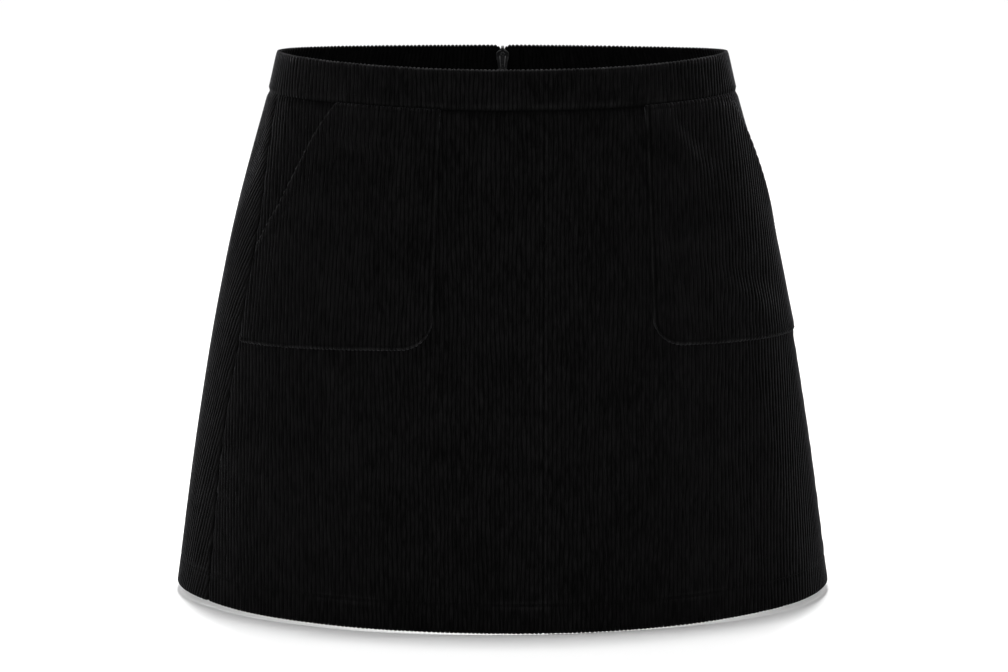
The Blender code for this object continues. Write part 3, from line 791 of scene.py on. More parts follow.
def waistband():
    outer_drops = np.linspace(BAND_FOOT, BAND_TOP + 0.6 * MM, 10)
    inner_drops = (BAND_TOP + 0.6 * MM, *np.linspace(BAND_TOP + 0.003, BAND_FOOT, 6))
    outer = [Row(d, BAND_OUTSIDE, 1.0, 0, 0) for d in outer_drops]
    over = fold_rows(BAND_TOP, BAND_OUTSIDE - 0.3 * MM, BAND_INSIDE + 0.2 * MM, 6, sign=-1)
    rows = outer + over + [Row(d, BAND_INSIDE, 0.7, 180, 0) for d in inner_drops]
    row_drop, row_lift, row_pile, row_turn, row_sink = columns_of(rows)
    middle = -BAND_HEIGHT / 2
    widths = {s: s * (float(back_seam(s, middle)) - CENTRE_FRONT) for s in (1, -1)}
    share, height, cloth = band_columns(widths)
    on_right = share < 0
    from_end = np.where(on_right, (1 + share) * widths[-1], (1 - share) * widths[1])
    near_end = np.clip(1 - from_end / NOTCH_WIDTH, 0, 1)
    high = np.clip((middle - row_drop) / -middle, 0, 1)
    drop = row_drop + NOTCH_DEPTH * near_end**2 * high
    ends = np.where(on_right, back_seam(-1, drop) + ZIP_GAP, back_seam(1, drop) - ZIP_GAP)
    at_middle = np.where(on_right, -widths[-1], widths[1])
    arc = CENTRE_FRONT + at_middle * np.abs(share)
    arc = arc + (ends - CENTRE_FRONT - at_middle) * np.abs(share) ** BAND_FAN
    arc = arc + 0.8 * stray(cloth, 1.6 * row_drop, 5.1) * np.clip(from_end / STRAY_FADE, 0, 1)
    turn, sink = row_turn + 0 * arc, row_sink + 0 * arc
    outside = turn == 0
    pile = RIB * height * seam_fade(from_end) * row_pile
    # Pile let down towards the band's foot, which through the finish also paints groove-black shade
    # along the waist seam.
    pile = pile * (0.1 + 0.9 * np.clip((BAND_FOOT - row_drop) / (2.5 * MM), 0, 1))
    pile = pile * (1 + (BAND_TOP_PILE - 1) * bell(turn + 80, 60))
    rounded = bell(from_end, 0.9 * MM) * 0.7 * MM
    lift = row_lift - rounded * np.sign(np.cos(np.radians(turn)))
    lift = lift - BAND_SEAM_DIP * bell(row_drop - BAND_FOOT, 1.3 * MM) * outside
    lift = lift + BAND_WAVE * ripple(cloth, 0.037) * np.sin(row_drop * 90 + 1)
    points = lay(arc, drop, lift, pile, turn, sink)
    grain = np.stack([cloth + 0 * arc, row_drop + 0 * arc, pile / RIB], axis=-1)
    # Worn pile and painted highlight: a bright line along the top fold and a light line above the
    # foot.
    wear_and_highlight = RIM_WEAR_AND_HIGHLIGHT * bell(turn + 50, 45) * (sink != 0)
    wear_and_highlight = wear_and_highlight + BAND_FOOT_WEAR_AND_HIGHLIGHT * bell(row_drop - BAND_FOOT + 2.2 * MM, 1.4 * MM) * outside
    wear_and_highlight = wear_and_highlight * (0.75 + 0.25 * ripple(cloth, 0.041, 1.1))
    band = sew("waistband", points, grain, wear_and_highlight, len(outer) + 4, len(rows))


waistband()


# ---------------------------------------------------------------- the patch pockets
# One layer of corduroy laid on each front, cords down like the front's. The slanted edge is the
# mouth. The inner edge and the bottom are turned in and stitched down, with a rounded corner.

POCKET_EDGE = 0.0735
POCKET_LEAN = 0.040
POCKET_DEPTH = 0.1672
POCKET_SIDE_DEPTH = 0.1755
POCKET_CORNER = 0.022
POCKET_SEAM_MARGIN = 0.0012
MouthPoint = namedtuple("MouthPoint", "from_centre drop")
POCKET_MOUTH = (
    MouthPoint(0.1510, 0.0000),
    MouthPoint(0.1605, 0.0100),
    MouthPoint(0.1700, 0.0235),
    MouthPoint(0.1980, 0.0725),
    MouthPoint(0.2285, 0.1150),
)
POCKET_UNDER = GROUND + 0.7 * MM
POCKET_OVER = POCKET_UNDER + 1.4 * MM
POCKET_FOLD = 0.9 * MM
POCKET_TURN = 0.010
POCKET_STITCH = 2.2 * MM
POCKET_OUTLINE_STEPS = 2841
# Worn pile and painted highlight on the pockets' turned edges and along the mouth.
POCKET_EDGE_WEAR_AND_HIGHLIGHT, MOUTH_WEAR_AND_HIGHLIGHT = 0.26, 0.16

# How far a pocket's face sinks at the waist seam, at the side seam and at its turned edges.
SUNK_AT_WAIST, SUNK_AT_SIDE, SUNK_AT_EDGE = 1.0 * MM, 1.7 * MM, 0.55 * MM

# From the inner edge to the side seam, to the pocket's own end, and how steeply the
# bottom drops on the way.
POCKET_SIDE_WIDTH = float(front_width(POCKET_SIDE_DEPTH)) - POCKET_EDGE
POCKET_END = POCKET_SIDE_WIDTH - POCKET_LEAN * POCKET_SIDE_DEPTH
POCKET_SLOPE = (POCKET_SIDE_DEPTH - POCKET_DEPTH) / POCKET_SIDE_WIDTH

# Rows down a pocket: how each end turns over, how close the rows stand to an edge, and how many
# lie between and up the inside.
POCKET_TURNS = (-150, -115, -80, -45, -15)
POCKET_CLOSE = (0.0, 1.0 * MM, 1.8 * MM, 3.0 * MM, 6.0 * MM, 10.5 * MM, 13.5 * MM)
POCKET_ROWS = 34
POCKET_INSIDE_ROWS = 10


def mouth_at(drop):
    """How far the mouth's edge stands from the centre front seam."""
    return np.interp(drop, [p.drop for p in POCKET_MOUTH], [p.from_centre for p in POCKET_MOUTH])


def pocket_outline(across):
    """The top and bottom drops of a pocket at a distance along it from its inner edge."""
    drops = np.linspace(SEAM_GAP / 2, POCKET_SIDE_DEPTH, POCKET_OUTLINE_STEPS)
    from_centre = POCKET_EDGE + across + POCKET_LEAN * drops
    seam = front_width(drops) - POCKET_SEAM_MARGIN
    limit = np.where(drops < POCKET_MOUTH[-1].drop, np.minimum(mouth_at(drops), seam), seam)
    top = float(drops[np.argmax(from_centre <= limit)])
    into_corner = max(0.0, POCKET_CORNER - across)
    rounding = POCKET_CORNER - math.sqrt(max(POCKET_CORNER**2 - into_corner**2, 0.0))
    return top, POCKET_DEPTH + POCKET_SLOPE * across - rounding


def pocket_rows(tops, bottoms):
    """The drop and turn of each row: over the top fold, down the face, round the bottom fold
    and up the inside."""
    high, low = tops + POCKET_FOLD, bottoms - POCKET_FOLD
    long = low - high
    close = np.array(POCKET_CLOSE)[:, None]
    between = np.linspace(0, 1, POCKET_ROWS + 2)[1:-1, None]
    inset = close[-1]
    face = np.concatenate([
        high + np.minimum(close, long * 0.4),
        (high + inset) + between * (long - 2 * inset),
        low - np.minimum(close[::-1], long * 0.4),
    ])
    face = np.sort(face, axis=0)
    back = np.linspace(1, 0, POCKET_INSIDE_ROWS)[:, None]
    fold = np.zeros((len(POCKET_TURNS), 1))
    drop = np.concatenate([high + fold, face, low + fold, high + back * long])
    down = [-turn for turn in POCKET_TURNS[::-1]]
    turn = [*POCKET_TURNS, *[0] * len(face), *down, *[180] * POCKET_INSIDE_ROWS]
    return drop, np.array(turn, float)[:, None] + 0 * drop, len(face)


def folded_layers(gap):
    """How the turned-in layers stand out beside a stitched edge, and its stitch line sinks in."""
    layers = np.clip((POCKET_TURN + 1.5 * MM - gap) / (3 * MM), 0, 1)
    return 0.45 * MM * layers - 0.40 * MM * bell(gap - POCKET_STITCH, 0.8 * MM)


def pocket(name, side, seed):
    reach = POCKET_END - POCKET_SEAM_MARGIN - 1.0 * MM
    across, height = wale_columns(reach)
    tops, bottoms = np.array([pocket_outline(a) for a in across]).T
    drop, turn, face_rows = pocket_rows(tops, bottoms)
    across = across[None, :] + 0 * drop
    aside = np.minimum(across, reach - across)
    strayed = across + stray(across, drop, seed) * np.clip(aside / STRAY_FADE, 0, 1)
    arc = CENTRE_FRONT + side * (POCKET_EDGE + strayed + POCKET_LEAN * drop)
    stitched = np.minimum(across, bottoms - drop)
    edge = np.minimum(aside, np.minimum(drop - tops, bottoms - drop))
    over, facing = turn != 180, np.cos(np.radians(turn))
    pile = RIB * height * np.clip(aside / (0.8 * MM), 0, 1) * over
    pile = pile * (1 - 0.6 * bell(stitched - POCKET_STITCH, 0.7 * MM))
    pile = pile * np.where(turn == 0, 1.0, 1.35)
    half = (POCKET_OVER - POCKET_UNDER) / 2
    lift = (POCKET_UNDER + POCKET_OVER) / 2 + half * facing + crease_lift(arc, drop)
    lift = lift + folded_layers(np.minimum(edge, stitched)) * (turn == 0)
    to_seam = front_width(drop) - POCKET_EDGE - POCKET_LEAN * drop - across
    lift = lift - SUNK_AT_WAIST * np.exp(-drop / (5 * MM))
    lift = lift - SUNK_AT_SIDE * np.exp(-to_seam / (9 * MM))
    lift = lift - SUNK_AT_EDGE * bell(aside, 0.8 * MM) * facing
    sink = POCKET_FOLD * np.sin(np.radians(turn)) * over
    points = lay(arc, drop, lift, pile, turn, sink)
    grain = np.stack([across + seed, drop, pile / RIB], axis=-1)
    # Worn pile and painted highlight: light lines along the pocket's folded edges and mouth.
    wear_and_highlight = POCKET_EDGE_WEAR_AND_HIGHLIGHT * bell(edge - 0.5 * MM, 1.1 * MM)
    wear_and_highlight = (wear_and_highlight + MOUTH_WEAR_AND_HIGHLIGHT * bell(drop - tops - 0.5 * MM, 1.3 * MM)) * over
    wear_and_highlight = wear_and_highlight * (0.65 + 0.35 * ripple(across + 1.3 * drop, 0.047, seed))
    wear_and_highlight = wear_and_highlight * np.clip((drop - 3 * MM) / (4 * MM), 0, 1)
    wear_and_highlight = wear_and_highlight * np.clip((reach - across) / (3 * MM), 0, 1)
    outer_rows = face_rows + 2 * len(POCKET_TURNS)
    piece = sew(name, points, grain, wear_and_highlight, outer_rows, outer_rows)


pocket("pocket_left", 1, 0.9)
pocket("pocket_right", -1, 3.3)


# ---------------------------------------------------------------- the sewing
# Black cotton thread: the line that holds the hem, the lines round the pockets and the bars at
# the ends of their mouths. Each stitch dips into the cloth at both ends.

THREAD_RADIUS = 0.20 * MM
STITCH = 3.0 * MM
STITCH_SHARE = 0.82
THREAD_BLACK = (0.0024, 0.0024, 0.0026)
THREAD_SIDES = 5
HEM_POINTS = 900
POCKET_INSET = 2.0 * MM
BAR_DROP = 0.0305
BAR_LENGTH = 20 * MM
MOUTH_INSET = 6.0 * MM

# Along one stitch: share of its length, and how far it stands over the cloth.
StitchPoint = namedtuple("StitchPoint", "along over")
STITCH_SHAPE = (
    StitchPoint(0.00, -0.55 * MM),
    StitchPoint(0.14, 0.02 * MM),
    StitchPoint(0.50, 0.16 * MM),
    StitchPoint(0.86, 0.02 * MM),
    StitchPoint(1.00, -0.55 * MM),
)


def round_threads(name, paths, normals, radius, material):
    """One mesh of round threads, each along its own path, with closed ends."""
    count, length = paths.shape[:2]
    along = np.gradient(paths, axis=1)
    along /= np.linalg.norm(along, axis=2, keepdims=True)
    across = np.cross(along, normals)
    across /= np.linalg.norm(across, axis=2, keepdims=True)
    over = np.cross(across, along)
    turns = np.arange(THREAD_SIDES) * 2 * np.pi / THREAD_SIDES
    ring = over[:, :, None] * np.cos(turns)[None, None, :, None]
    ring = ring + across[:, :, None] * np.sin(turns)[None, None, :, None]
    points = paths[:, :, None] + radius * ring
    index = np.arange(count * length * THREAD_SIDES).reshape(count, length, THREAD_SIDES)
    turned = np.roll(index, -1, axis=2)
    quads = np.stack([index[:, :-1], turned[:, :-1], turned[:, 1:], index[:, 1:]], axis=-1)
    faces = quads.reshape(-1, 4).tolist()
    faces += index[:, 0, ::-1].tolist() + index[:, -1].tolist()
    mesh = bpy.data.meshes.new(name)
    mesh.from_pydata(points.reshape(-1, 3).tolist(), [], faces)
    mesh.materials.append(material)
    bm = bmesh.new()
    bm.from_mesh(mesh)
    bmesh.ops.recalc_face_normals(bm, faces=bm.faces)
    bm.to_mesh(mesh)
    bm.free()
    mesh.shade_smooth()
    made = bpy.data.objects.new(name, mesh)
    bpy.context.scene.collection.objects.link(made)
    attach(made, "skirt")
    return made


def plain_finish(name, colour, roughness, specular, metallic=0.0):
    made = bpy.data.materials.new(name)
    made.use_nodes = True
    shader = made.node_tree.nodes["Principled BSDF"]
    shader.inputs["Base Color"].default_value = (*colour, 1)
    shader.inputs["Roughness"].default_value = roughness
    shader.inputs["Specular IOR Level"].default_value = specular
    shader.inputs["Metallic"].default_value = metallic
    return made


def stitches_along(arcs, drops, lifts):
    """Stitches end to end along a line of (arc, drop, lift) points."""
    places, out = form(np.array(arcs), np.array(drops))
    places = places + out * np.array(lifts)[:, None]
    step = np.linalg.norm(np.diff(places, axis=0), axis=1)
    travel = np.concatenate([[0], np.cumsum(step)])
    count = int(travel[-1] // STITCH)
    firsts = np.arange(count) * travel[-1] / count
    at = firsts[:, None] + np.array([p.along for p in STITCH_SHAPE]) * STITCH * STITCH_SHARE
    spots = np.stack([np.interp(at, travel, places[:, axis]) for axis in range(3)], axis=-1)
    facing = np.stack([np.interp(at, travel, out[:, axis]) for axis in range(3)], axis=-1)
    facing /= np.linalg.norm(facing, axis=-1, keepdims=True)
    return spots + facing * np.array([p.over for p in STITCH_SHAPE])[None, :, None], facing


def pocket_lift(across, drop, side):
    arc = CENTRE_FRONT + side * (POCKET_EDGE + across + POCKET_LEAN * drop)
    return arc, POCKET_OVER + 0.30 * RIB + crease_lift(arc, drop)


def pocket_stitches(side):
    """The line down the inner edge, round the corner and along the bottom."""
    corner_drop = POCKET_DEPTH - POCKET_CORNER
    radius = POCKET_CORNER - POCKET_INSET
    down = [(POCKET_INSET, d) for d in np.linspace(0.0015, corner_drop, 40)]
    corner = [
        (POCKET_CORNER - radius * math.cos(turn), corner_drop + radius * math.sin(turn))
        for turn in np.linspace(0, math.pi / 2, 12)[1:]
    ]
    bottom = POCKET_DEPTH - POCKET_INSET
    aside = np.linspace(POCKET_CORNER, POCKET_END - 3 * MM, 40)[1:]
    along = [(a, bottom + POCKET_SLOPE * a) for a in aside]
    across, drop = np.array(down + corner + along).T
    arc, lift = pocket_lift(across, drop, side)
    return stitches_along(arc, drop, lift)


def bar_tack(side):
    """A close bar of stitches across the pocket's inner edge, a little below the waist."""
    drop = np.full(12, BAR_DROP)
    arc, lift = pocket_lift(np.linspace(0.9 * MM, BAR_LENGTH, 12), drop, side)
    return stitches_along(arc, drop, lift + 0.1 * MM)


def mouth_stitches(side):
    drop = np.linspace(0.002, POCKET_MOUTH[-1].drop - 0.001, 60)
    across = mouth_at(drop) - POCKET_EDGE - POCKET_LEAN * drop - MOUTH_INSET
    arc, lift = pocket_lift(across, drop, side)
    return stitches_along(arc, drop, lift + 0.35 * RIB)


def hem_stitches():
    level = HEM_DROP - HEM_STITCH
    reach = float(back_seam(1, level))
    arcs = np.linspace(-reach, reach, HEM_POINTS)
    drops = np.full(HEM_POINTS, level)
    return stitches_along(arcs, drops, GROUND + 0.35 * RIB + crease_lift(arcs, drops))


THREAD = plain_finish("thread", THREAD_BLACK, 0.7, 0.04)


def sew_lines(name, lines):
    paths, normals = (np.concatenate(parts) for parts in zip(*lines))
    return round_threads(name, paths, normals, THREAD_RADIUS, THREAD)


sew_lines("hem_stitches", [hem_stitches()])
for side, hand in ((1, "left"), (-1, "right")):
    lines = [pocket_stitches(side), bar_tack(side), mouth_stitches(side)]
    sew_lines("pocket_stitches_" + hand, lines)


# ---------------------------------------------------------------- the zip's tapes and coil
# A concealed zip in the centre back seam: two black woven polyester tapes, and a coil of
# polyester wire along each that locks into the other.

SLIDER_DROP = -0.0185
TAPE_WIDTH = 12.5 * MM
TAPE_THICK = 0.6 * MM
TAPE_TOP = -0.026
TAPE_INNER_EDGE = 0.04 * MM
TAPE_PARTED = 0.6 * MM
TAPE_BELOW_ZIP = 0.010
TAPE_LIFT = -0.5 * MM
TAPE_ROWS = 48
TAPE_COLUMNS = 17
TAPE_BLACK = (0.0014, 0.0014, 0.0015)
COIL_BLACK = (0.0060, 0.0060, 0.0064)
COIL_TOP = -0.0095
COIL_MIDDLE = -2.6 * MM
COIL_ASIDE = 0.80 * MM
COIL_WIDE = 1.10 * MM
COIL_DEEP = 0.70 * MM
COIL_WIRE = 0.31 * MM
COIL_PITCH = 1.25 * MM
COIL_STEPS = 12


def tape_finish():
    """A close herringbone weave."""
    made = plain_finish("zip_tape", TAPE_BLACK, 0.8, 0.03)
    tree = made.node_tree
    scale = add(tree, "ShaderNodeMapping", inputs={"Scale": (900, 900, 0)})
    tree.links.new(grain_of(tree), scale.inputs["Vector"])
    weave = add(
        tree, "ShaderNodeTexWave", wave_type="BANDS", bands_direction="DIAGONAL",
        inputs={"Scale": 1.4},
    )
    tree.links.new(scale.outputs[0], weave.inputs["Vector"])
    raise_by(tree, weave.outputs["Fac"], tree.nodes["Principled BSDF"], 0.6, 0.12 * MM)
    return made


TAPE = tape_finish()


def zip_tape(name, side):
    drops = np.linspace(TAPE_TOP, ZIP_END + TAPE_BELOW_ZIP, TAPE_ROWS)
    down_and_up = np.concatenate([drops, drops[::-1]])[:, None]
    inner = (np.arange(2 * TAPE_ROWS) >= TAPE_ROWS)[:, None]
    near = TAPE_INNER_EDGE + TAPE_PARTED * bell(down_and_up - SLIDER_DROP, 4.5 * MM)
    across = near + np.linspace(0, 1, TAPE_COLUMNS)[None, :] * (TAPE_WIDTH - near)
    drop, none = down_and_up + 0 * across, 0 * across
    arc = back_seam(side, drop) - side * across
    cord = 0.15 * MM * bell(across - 3.6 * MM, 0.5 * MM)
    waves = 0.12 * MM * ripple(drop, 0.031, side) * np.clip(across / TAPE_WIDTH, 0, 1)
    slim = 0.12 * MM * np.exp(-np.minimum(across - near, TAPE_WIDTH - across) / (0.3 * MM))
    lift = TAPE_LIFT - slim + waves - inner * (TAPE_THICK - 2 * slim)
    lift = lift + cord * np.where(inner, -1, 1)
    points = lay(arc, drop, lift, none, none, none)
    grain = np.stack([across, drop, none], axis=-1)
    tape = sew(name, points, grain, none, TAPE_ROWS, 2 * TAPE_ROWS, (TAPE,))


zip_tape("zip_tape_left", 1)
zip_tape("zip_tape_right", -1)


def coil_side(side):
    """One winding of the coil, and the way out from the cloth along it."""
    turns = (ZIP_END - COIL_TOP) / COIL_PITCH
    t = np.linspace(0, turns, int(turns * COIL_STEPS))
    drop = COIL_TOP + t * COIL_PITCH
    angle = 2 * np.pi * t + (np.pi if side < 0 else 0)
    across = side * COIL_ASIDE + COIL_WIDE * np.cos(angle)
    lift = COIL_MIDDLE + COIL_DEEP * np.sin(angle)
    places, out = form(back_seam(1, drop) - across, drop)
    return places + out * lift[:, None], out


COIL = plain_finish("zip_coil", COIL_BLACK, 0.4, 0.4)
coil_paths, coil_out = (np.stack(parts) for parts in zip(coil_side(1), coil_side(-1)))
coil = round_threads("zip_coil", coil_paths, coil_out, COIL_WIRE, COIL)
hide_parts("zip_coil")


# ---------------------------------------------------------------- the zip's slider
# Die-cast zinc under black enamel: two pear-shaped plates joined by a post and two side walls
# that close the coil, a neck through the gap, and a plate and bail outside for the pull.

SLIDER_LENGTH = 15.0 * MM
SLIDER_WIDTH = 10.0 * MM
SLIDER_CROWN = 4.0 * MM
SLIDER_RIM = 0.8 * MM
RIM_SHARE = 0.6

# Down from the crown: how far each stretch runs, and the width it comes to.
Stretch = namedtuple("Stretch", "down width")
SLIDER_STRETCHES = (
    Stretch(1.6 * MM, 9.8 * MM),
    Stretch(2.0 * MM, 8.7 * MM),
    Stretch(2.4 * MM, 7.2 * MM),
    Stretch(4.4 * MM, 6.9 * MM),
    Stretch(0.6 * MM, 5.9 * MM),
)

# Out (+) and in from the cloth's form, and up (+) from the slider's middle.
SLIDER_FACE = -5.8 * MM
SLIDER_BACK = -1.8 * MM
SLIDER_PLATE = 1.1 * MM
PLATE_INNER = 3.1 * MM
PLATE_OUTER = 4.0 * MM
PIVOT_OUT = 5.1 * MM
PIVOT_UP = 0.5 * MM
BAIL_RADIUS = 2.0 * MM
BAIL_WIRE = 1.0 * MM
BAIL_SUNK = 0.4 * MM
ENAMEL_BLACK = (0.020, 0.020, 0.021)
# Painted highlight on the slider's raised rims.
RIM_HIGHLIGHT_BLACK = (0.200, 0.200, 0.205)

# A painted highlight in a lighter enamel lies on what stands out from the face, this near its level
# and this far from its middle.
RIM_HIGHLIGHT_NEAR = 0.12 * MM
RIM_HIGHLIGHT_ASIDE = 1.2 * MM


def enamel_finish(name, colour):
    """Smooth black enamel, a little uneven in its gloss."""
    made = plain_finish(name, colour, 0.3, 0.5, 0.5)
    tree = made.node_tree
    place = add(tree, "ShaderNodeTexCoord").outputs["Object"]
    speck = add(tree, "ShaderNodeTexNoise", inputs={"Scale": 900.0, "Detail": 2.0})
    tree.links.new(place, speck.inputs["Vector"])
    spread = add(tree, "ShaderNodeMapRange", inputs={"To Min": 0.22, "To Max": 0.40})
    tree.links.new(speck.outputs["Fac"], spread.inputs["Value"])
    tree.links.new(spread.outputs["Result"], tree.nodes["Principled BSDF"].inputs["Roughness"])
    return made


ENAMEL = enamel_finish("zip_enamel", ENAMEL_BLACK)
RIM_HIGHLIGHT_ENAMEL = enamel_finish("zip_enamel_rim_highlight", RIM_HIGHLIGHT_BLACK)


def begin(name, adder, scale=(1, 1, 1), **settings):
    """A new primitive, alone in the selection, with its place and scale kept in its mesh."""
    bpy.ops.object.select_all(action="DESELECT")
    adder(**settings)
    piece = bpy.context.object
    piece.name, piece.scale = name, scale
    bpy.ops.object.transform_apply(location=True, rotation=True, scale=True)
    return piece


def select_faces(piece, keep):
    """In edit mode, select only the faces that keep says yes to."""
    bpy.ops.mesh.select_all(action="DESELECT")
    bpy.ops.mesh.select_mode(type="FACE")
    bm = bmesh.from_edit_mesh(piece.data)
    bm.faces.ensure_lookup_table()
    for face in bm.faces:
        face.select_set(keep(face))
    bmesh.update_edit_mesh(piece.data)


def select_points(piece, keep):
    bpy.ops.mesh.select_all(action="DESELECT")
    bpy.ops.mesh.select_mode(type="VERT")
    bm = bmesh.from_edit_mesh(piece.data)
    for vert in bm.verts:
        vert.select_set(keep(vert.co))
    bm.select_flush(True)
    bmesh.update_edit_mesh(piece.data)


def soften(piece, width, segments=2):
    """Rounded edges, made part of the mesh."""
    bevel = piece.modifiers.new("edges", "BEVEL")
    bevel.width = width
    bevel.segments = segments
    bevel.limit_method = "ANGLE"
    bevel.angle_limit = math.radians(38)
    bpy.context.view_layer.objects.active = piece
    bpy.ops.object.modifier_apply(modifier="edges")


def pear(name, low, thick, stretches, head_radius, head_height):
    """A plate with a round head and a narrower foot."""
    piece = begin(
        name, bpy.ops.mesh.primitive_circle_add,
        vertices=48, radius=head_radius, fill_type="NGON",
        location=(0, low, 0), rotation=(math.pi / 2, 0, 0),
    )
    bpy.ops.object.mode_set(mode="EDIT")
    bpy.ops.mesh.select_all(action="SELECT")
    bpy.ops.mesh.bisect(plane_co=(0, low, 0), plane_no=(0, 0, 1), clear_inner=True, use_fill=False)
    bpy.ops.mesh.select_all(action="SELECT")
    bpy.ops.transform.resize(value=(1, 1, head_height / head_radius), center_override=(0, low, 0))
    foot, width = 0.0, 2 * head_radius
    for stretch in stretches:
        select_points(piece, lambda co: co.z < foot + 0.001 * MM)
        bpy.ops.mesh.extrude_edges_move(TRANSFORM_OT_translate={"value": (0, 0, -stretch.down)})
        foot -= stretch.down
        select_points(piece, lambda co: co.z < foot + 0.001 * MM)
        narrow = stretch.width / width
        bpy.ops.transform.resize(value=(narrow, 1, 1), center_override=(0, low, foot))
        width = stretch.width
    bpy.ops.mesh.select_all(action="SELECT")
    bpy.ops.mesh.extrude_region_move(TRANSFORM_OT_translate={"value": (0, thick, 0)})
    bpy.ops.mesh.select_all(action="SELECT")
    bpy.ops.mesh.normals_make_consistent(inside=False)
    bpy.ops.object.mode_set(mode="OBJECT")
    return piece


def bar(name, size, place, lean=0.0, round_by=0.2 * MM):
    """A bar with rounded edges, leaning so many degrees to the side."""
    piece = begin(
        name, bpy.ops.mesh.primitive_cube_add,
        size=1, location=place, rotation=(0, math.radians(lean), 0), scale=size,
    )
    soften(piece, round_by)
    return piece


def shift(piece, value):
    piece.location = value
    bpy.ops.object.select_all(action="DESELECT")
    piece.select_set(True)
    bpy.context.view_layer.objects.active = piece
    bpy.ops.object.transform_apply(location=True, rotation=True, scale=True)


def hooked_wire(name):
    """The bail: half a ring of wire with straight ends that run into the plate."""
    piece = begin(
        name, bpy.ops.mesh.primitive_torus_add,
        major_segments=32, minor_segments=12, major_radius=BAIL_RADIUS,
        minor_radius=BAIL_WIRE / 2, rotation=(0, math.pi / 2, 0),
    )
    bpy.ops.object.mode_set(mode="EDIT")
    bpy.ops.mesh.select_all(action="SELECT")
    bpy.ops.mesh.bisect(plane_co=(0, 0, 0), plane_no=(0, 1, 0), clear_inner=True, use_fill=False)
    select_points(piece, lambda co: co.y < 0.01 * MM)
    root = PLATE_OUTER - BAIL_SUNK - PIVOT_OUT
    bpy.ops.mesh.extrude_edges_move(TRANSFORM_OT_translate={"value": (0, root, 0)})
    bpy.ops.mesh.select_all(action="DESELECT")
    bpy.ops.mesh.select_mode(type="EDGE")
    bpy.ops.mesh.select_non_manifold()
    bpy.ops.mesh.edge_face_add()
    bpy.ops.mesh.select_all(action="SELECT")
    bpy.ops.mesh.normals_make_consistent(inside=False)
    bpy.ops.object.mode_set(mode="OBJECT")
    shift(piece, (0, PIVOT_OUT, PIVOT_UP))
    return piece


def cut(piece, size, place):
    """A square hole with rounded corners."""
    cutter = bar("cutter", size, place, round_by=0.1 * MM)
    hole = piece.modifiers.new("hole", "BOOLEAN")
    hole.operation = "DIFFERENCE"
    hole.solver = "EXACT"
    hole.object = cutter
    bpy.context.view_layer.objects.active = piece
    bpy.ops.object.modifier_apply(modifier="hole")
    bpy.data.objects.remove(cutter)


def slider_axes():
    """The slider's own axes: X level, Y out of the back, Z up along the waistband."""
    drops = np.array([SLIDER_DROP, SLIDER_DROP - MM])
    places, _ = form(back_seam(1, drops), drops)
    middle, above = (Vector(place) for place in places)
    up = (above - middle).normalized()
    out = up.cross(Vector((1, 0, 0))).normalized()
    across = out.cross(up)
    turn = np.eye(4)
    turn[:3, :3] = np.array([across, out, up]).T
    turn[:3, 3] = middle
    return turn


def join(name, pieces):
    bpy.ops.object.select_all(action="DESELECT")
    for piece in pieces:
        piece.select_set(True)
    bpy.context.view_layer.objects.active = pieces[0]
    if len(pieces) > 1:
        bpy.ops.object.join()
    joined = bpy.context.object
    joined.name = name
    joined.data.materials.clear()
    joined.data.materials.append(ENAMEL)
    bpy.ops.object.shade_smooth_by_angle(angle=math.radians(35))
    return joined


def slider_plates():
    """The two plates that hold the coil between them. The face's rim stands up."""
    plates = []
    for name, low in (("face_plate", SLIDER_FACE), ("coil_plate", SLIDER_BACK - SLIDER_PLATE)):
        plate = pear(name, low, SLIDER_PLATE, SLIDER_STRETCHES, SLIDER_WIDTH / 2, SLIDER_CROWN)
        if name == "face_plate":
            bpy.ops.object.mode_set(mode="EDIT")
            select_faces(plate, lambda face: face.normal.y < -0.9)
            bpy.ops.mesh.inset(thickness=SLIDER_RIM, depth=-SLIDER_RIM * RIM_SHARE)
            bpy.ops.object.mode_set(mode="OBJECT")
        shift(plate, (0, 0, SLIDER_LENGTH / 2 - SLIDER_CROWN))
        plates.append(plate)
    return plates


def slider_latch():
    """The raised lug low on the face, with a pit in it."""
    latch = begin(
        "latch", bpy.ops.mesh.primitive_cube_add,
        size=1, location=(0, SLIDER_FACE + 0.3 * MM, -5.2 * MM),
        scale=(2.8 * MM, 1.1 * MM, 3.2 * MM),
    )
    bpy.ops.object.mode_set(mode="EDIT")
    select_faces(latch, lambda face: face.normal.y < -0.9)
    bpy.ops.mesh.inset(thickness=0.55 * MM, depth=0)
    bpy.ops.mesh.inset(thickness=0.05 * MM, depth=-0.9 * MM)
    bpy.ops.object.mode_set(mode="OBJECT")
    soften(latch, 0.12 * MM)
    return latch


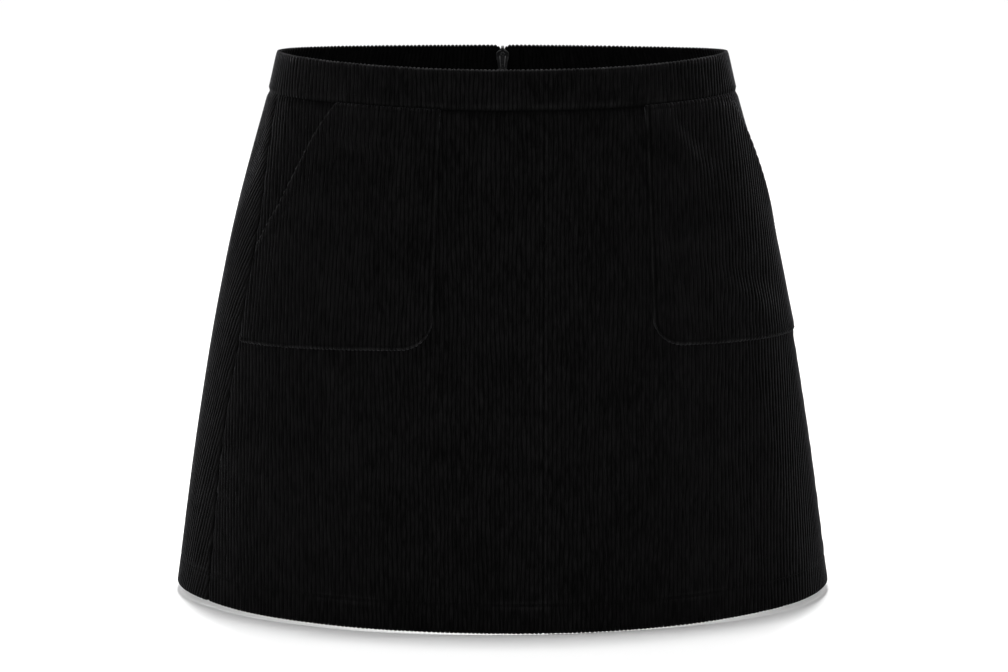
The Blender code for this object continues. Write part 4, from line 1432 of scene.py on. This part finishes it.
# The slider's bars, sizes and places in millimetres (level, out, up), leans in degrees.
Bar = namedtuple("Bar", "name size place lean round_by")
FACE_OUT, DEEP = SLIDER_FACE / MM, (SLIDER_BACK - SLIDER_FACE) / MM
NECK_DEEP = (PLATE_INNER - SLIDER_BACK) / MM + 0.8
PLATE_DEEP = (PLATE_OUTER - PLATE_INNER) / MM
MIDDLE_OUT = (SLIDER_BACK + SLIDER_FACE) / 2 / MM
SLIDER_BARS = (
    Bar("wall", (0.9, DEEP - 0.6, 9.6), (3.45, MIDDLE_OUT, -2.4), 6, 0.2),
    Bar("wall", (0.9, DEEP - 0.6, 9.6), (-3.45, MIDDLE_OUT, -2.4), -6, 0.2),
    Bar("ridge", (0.5, 0.6, 9.0), (1.75, FACE_OUT + 0.25, -1.4), 5, 0.2),
    Bar("ridge", (0.5, 0.6, 9.0), (-1.75, FACE_OUT + 0.25, -1.4), -5, 0.2),
    Bar("nose", (2.6, 1.5, 3.6), (0, FACE_OUT + 0.85, 7.7), 0, 0.5),
    Bar("nose", (2.4, 8.6, 1.5), (0, -1.0, 8.8), 0, 0.5),
    Bar("nose", (2.2, 1.0, 6.2), (0, 3.3, 6.4), 0, 0.4),
    Bar("post", (2.6, DEEP - 0.4, 3.4), (0, MIDDLE_OUT, 4.4), 0, 0.6),
    Bar("neck", (1.0, NECK_DEEP, 5.0), (0, (PLATE_INNER + SLIDER_BACK) / 2 / MM, 0), 0, 0.2),
    Bar("plate", (4.4, PLATE_DEEP, 8.6), (0, PLATE_INNER / MM + PLATE_DEEP / 2, 0), 0, 0.3),
)


def zip_slider():
    plates = slider_plates()
    latch = slider_latch()
    for plate in plates:
        soften(plate, 0.28 * MM, 3)
    bars = [
        bar(
            made.name, [value * MM for value in made.size], [value * MM for value in made.place],
            made.lean, made.round_by * MM,
        )
        for made in SLIDER_BARS
    ]
    ring = begin(
        "ring", bpy.ops.mesh.primitive_torus_add,
        major_segments=28, minor_segments=10, major_radius=1.15 * MM, minor_radius=0.30 * MM,
        location=(0, SLIDER_FACE + 0.15 * MM, 4.5 * MM), rotation=(math.pi / 2, 0, 0),
    )
    slider = join("zip_slider", [*plates, *bars, latch, ring, hooked_wire("bail")])
    # Painted highlight: the outward faces of the raised rims take the lighter enamel.
    slider.data.materials.append(RIM_HIGHLIGHT_ENAMEL)
    for face in slider.data.polygons:
        standing = face.center.y < SLIDER_FACE + RIM_HIGHLIGHT_NEAR and face.normal.y < -0.25
        face.material_index = 1 if standing and abs(face.center.x) > RIM_HIGHLIGHT_ASIDE else 0
    slider.data.transform(Matrix(slider_axes().tolist()))
    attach(slider, "skirt")
    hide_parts("zip_slider")


zip_slider()


# ---------------------------------------------------------------- the zip's pull
# A small die-cast tab under the same black enamel, with an eye cut through its head. It hangs
# outside on the slider's bail and swings up on it.

PULL_LENGTH = 16.0 * MM
PULL_THICK = 1.0 * MM
PULL_TOP_WIDTH = 4.8 * MM
PULL_WIDTH = 6.4 * MM
PULL_BAR = 1.0 * MM
PULL_HEAD = 0.4 * MM
PULL_EYE = (2.4 * MM, 3.2 * MM)
PULL_RIM = 0.7 * MM
PULL_SUNK = 0.15 * MM


def zip_pull():
    head = PULL_BAR / 2 + PULL_HEAD
    foot = -(PULL_LENGTH - PULL_WIDTH / 2)
    pull = pear(
        "zip_pull", -PULL_THICK / 2, PULL_THICK, [Stretch(head - foot, PULL_TOP_WIDTH)],
        PULL_WIDTH / 2, PULL_WIDTH / 2,
    )
    pull.rotation_euler = (0, math.pi, 0)
    shift(pull, (0, 0, foot))
    bpy.ops.object.mode_set(mode="EDIT")
    for sign in (1, -1):
        select_faces(pull, lambda face: face.normal.y * sign > 0.9 and face.calc_area() > 4 * MM**2)
        bpy.ops.mesh.inset(thickness=PULL_RIM, depth=-PULL_SUNK, use_individual=False)
    bpy.ops.object.mode_set(mode="OBJECT")
    eye_place = (0, 0, -PULL_BAR / 2 - PULL_EYE[1] / 2)
    cut(pull, (PULL_EYE[0], 3 * PULL_THICK, PULL_EYE[1]), eye_place)
    soften(pull, 0.18 * MM)
    pull = join("zip_pull", [pull])
    axes = slider_axes()
    pivot = axes[:3, :3] @ np.array([0, PIVOT_OUT, PIVOT_UP]) + axes[:3, 3]
    pull.data.transform(Matrix.Translation(pivot))
    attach(pull, "pull_tab")
    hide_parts("zip_pull")


zip_pull()
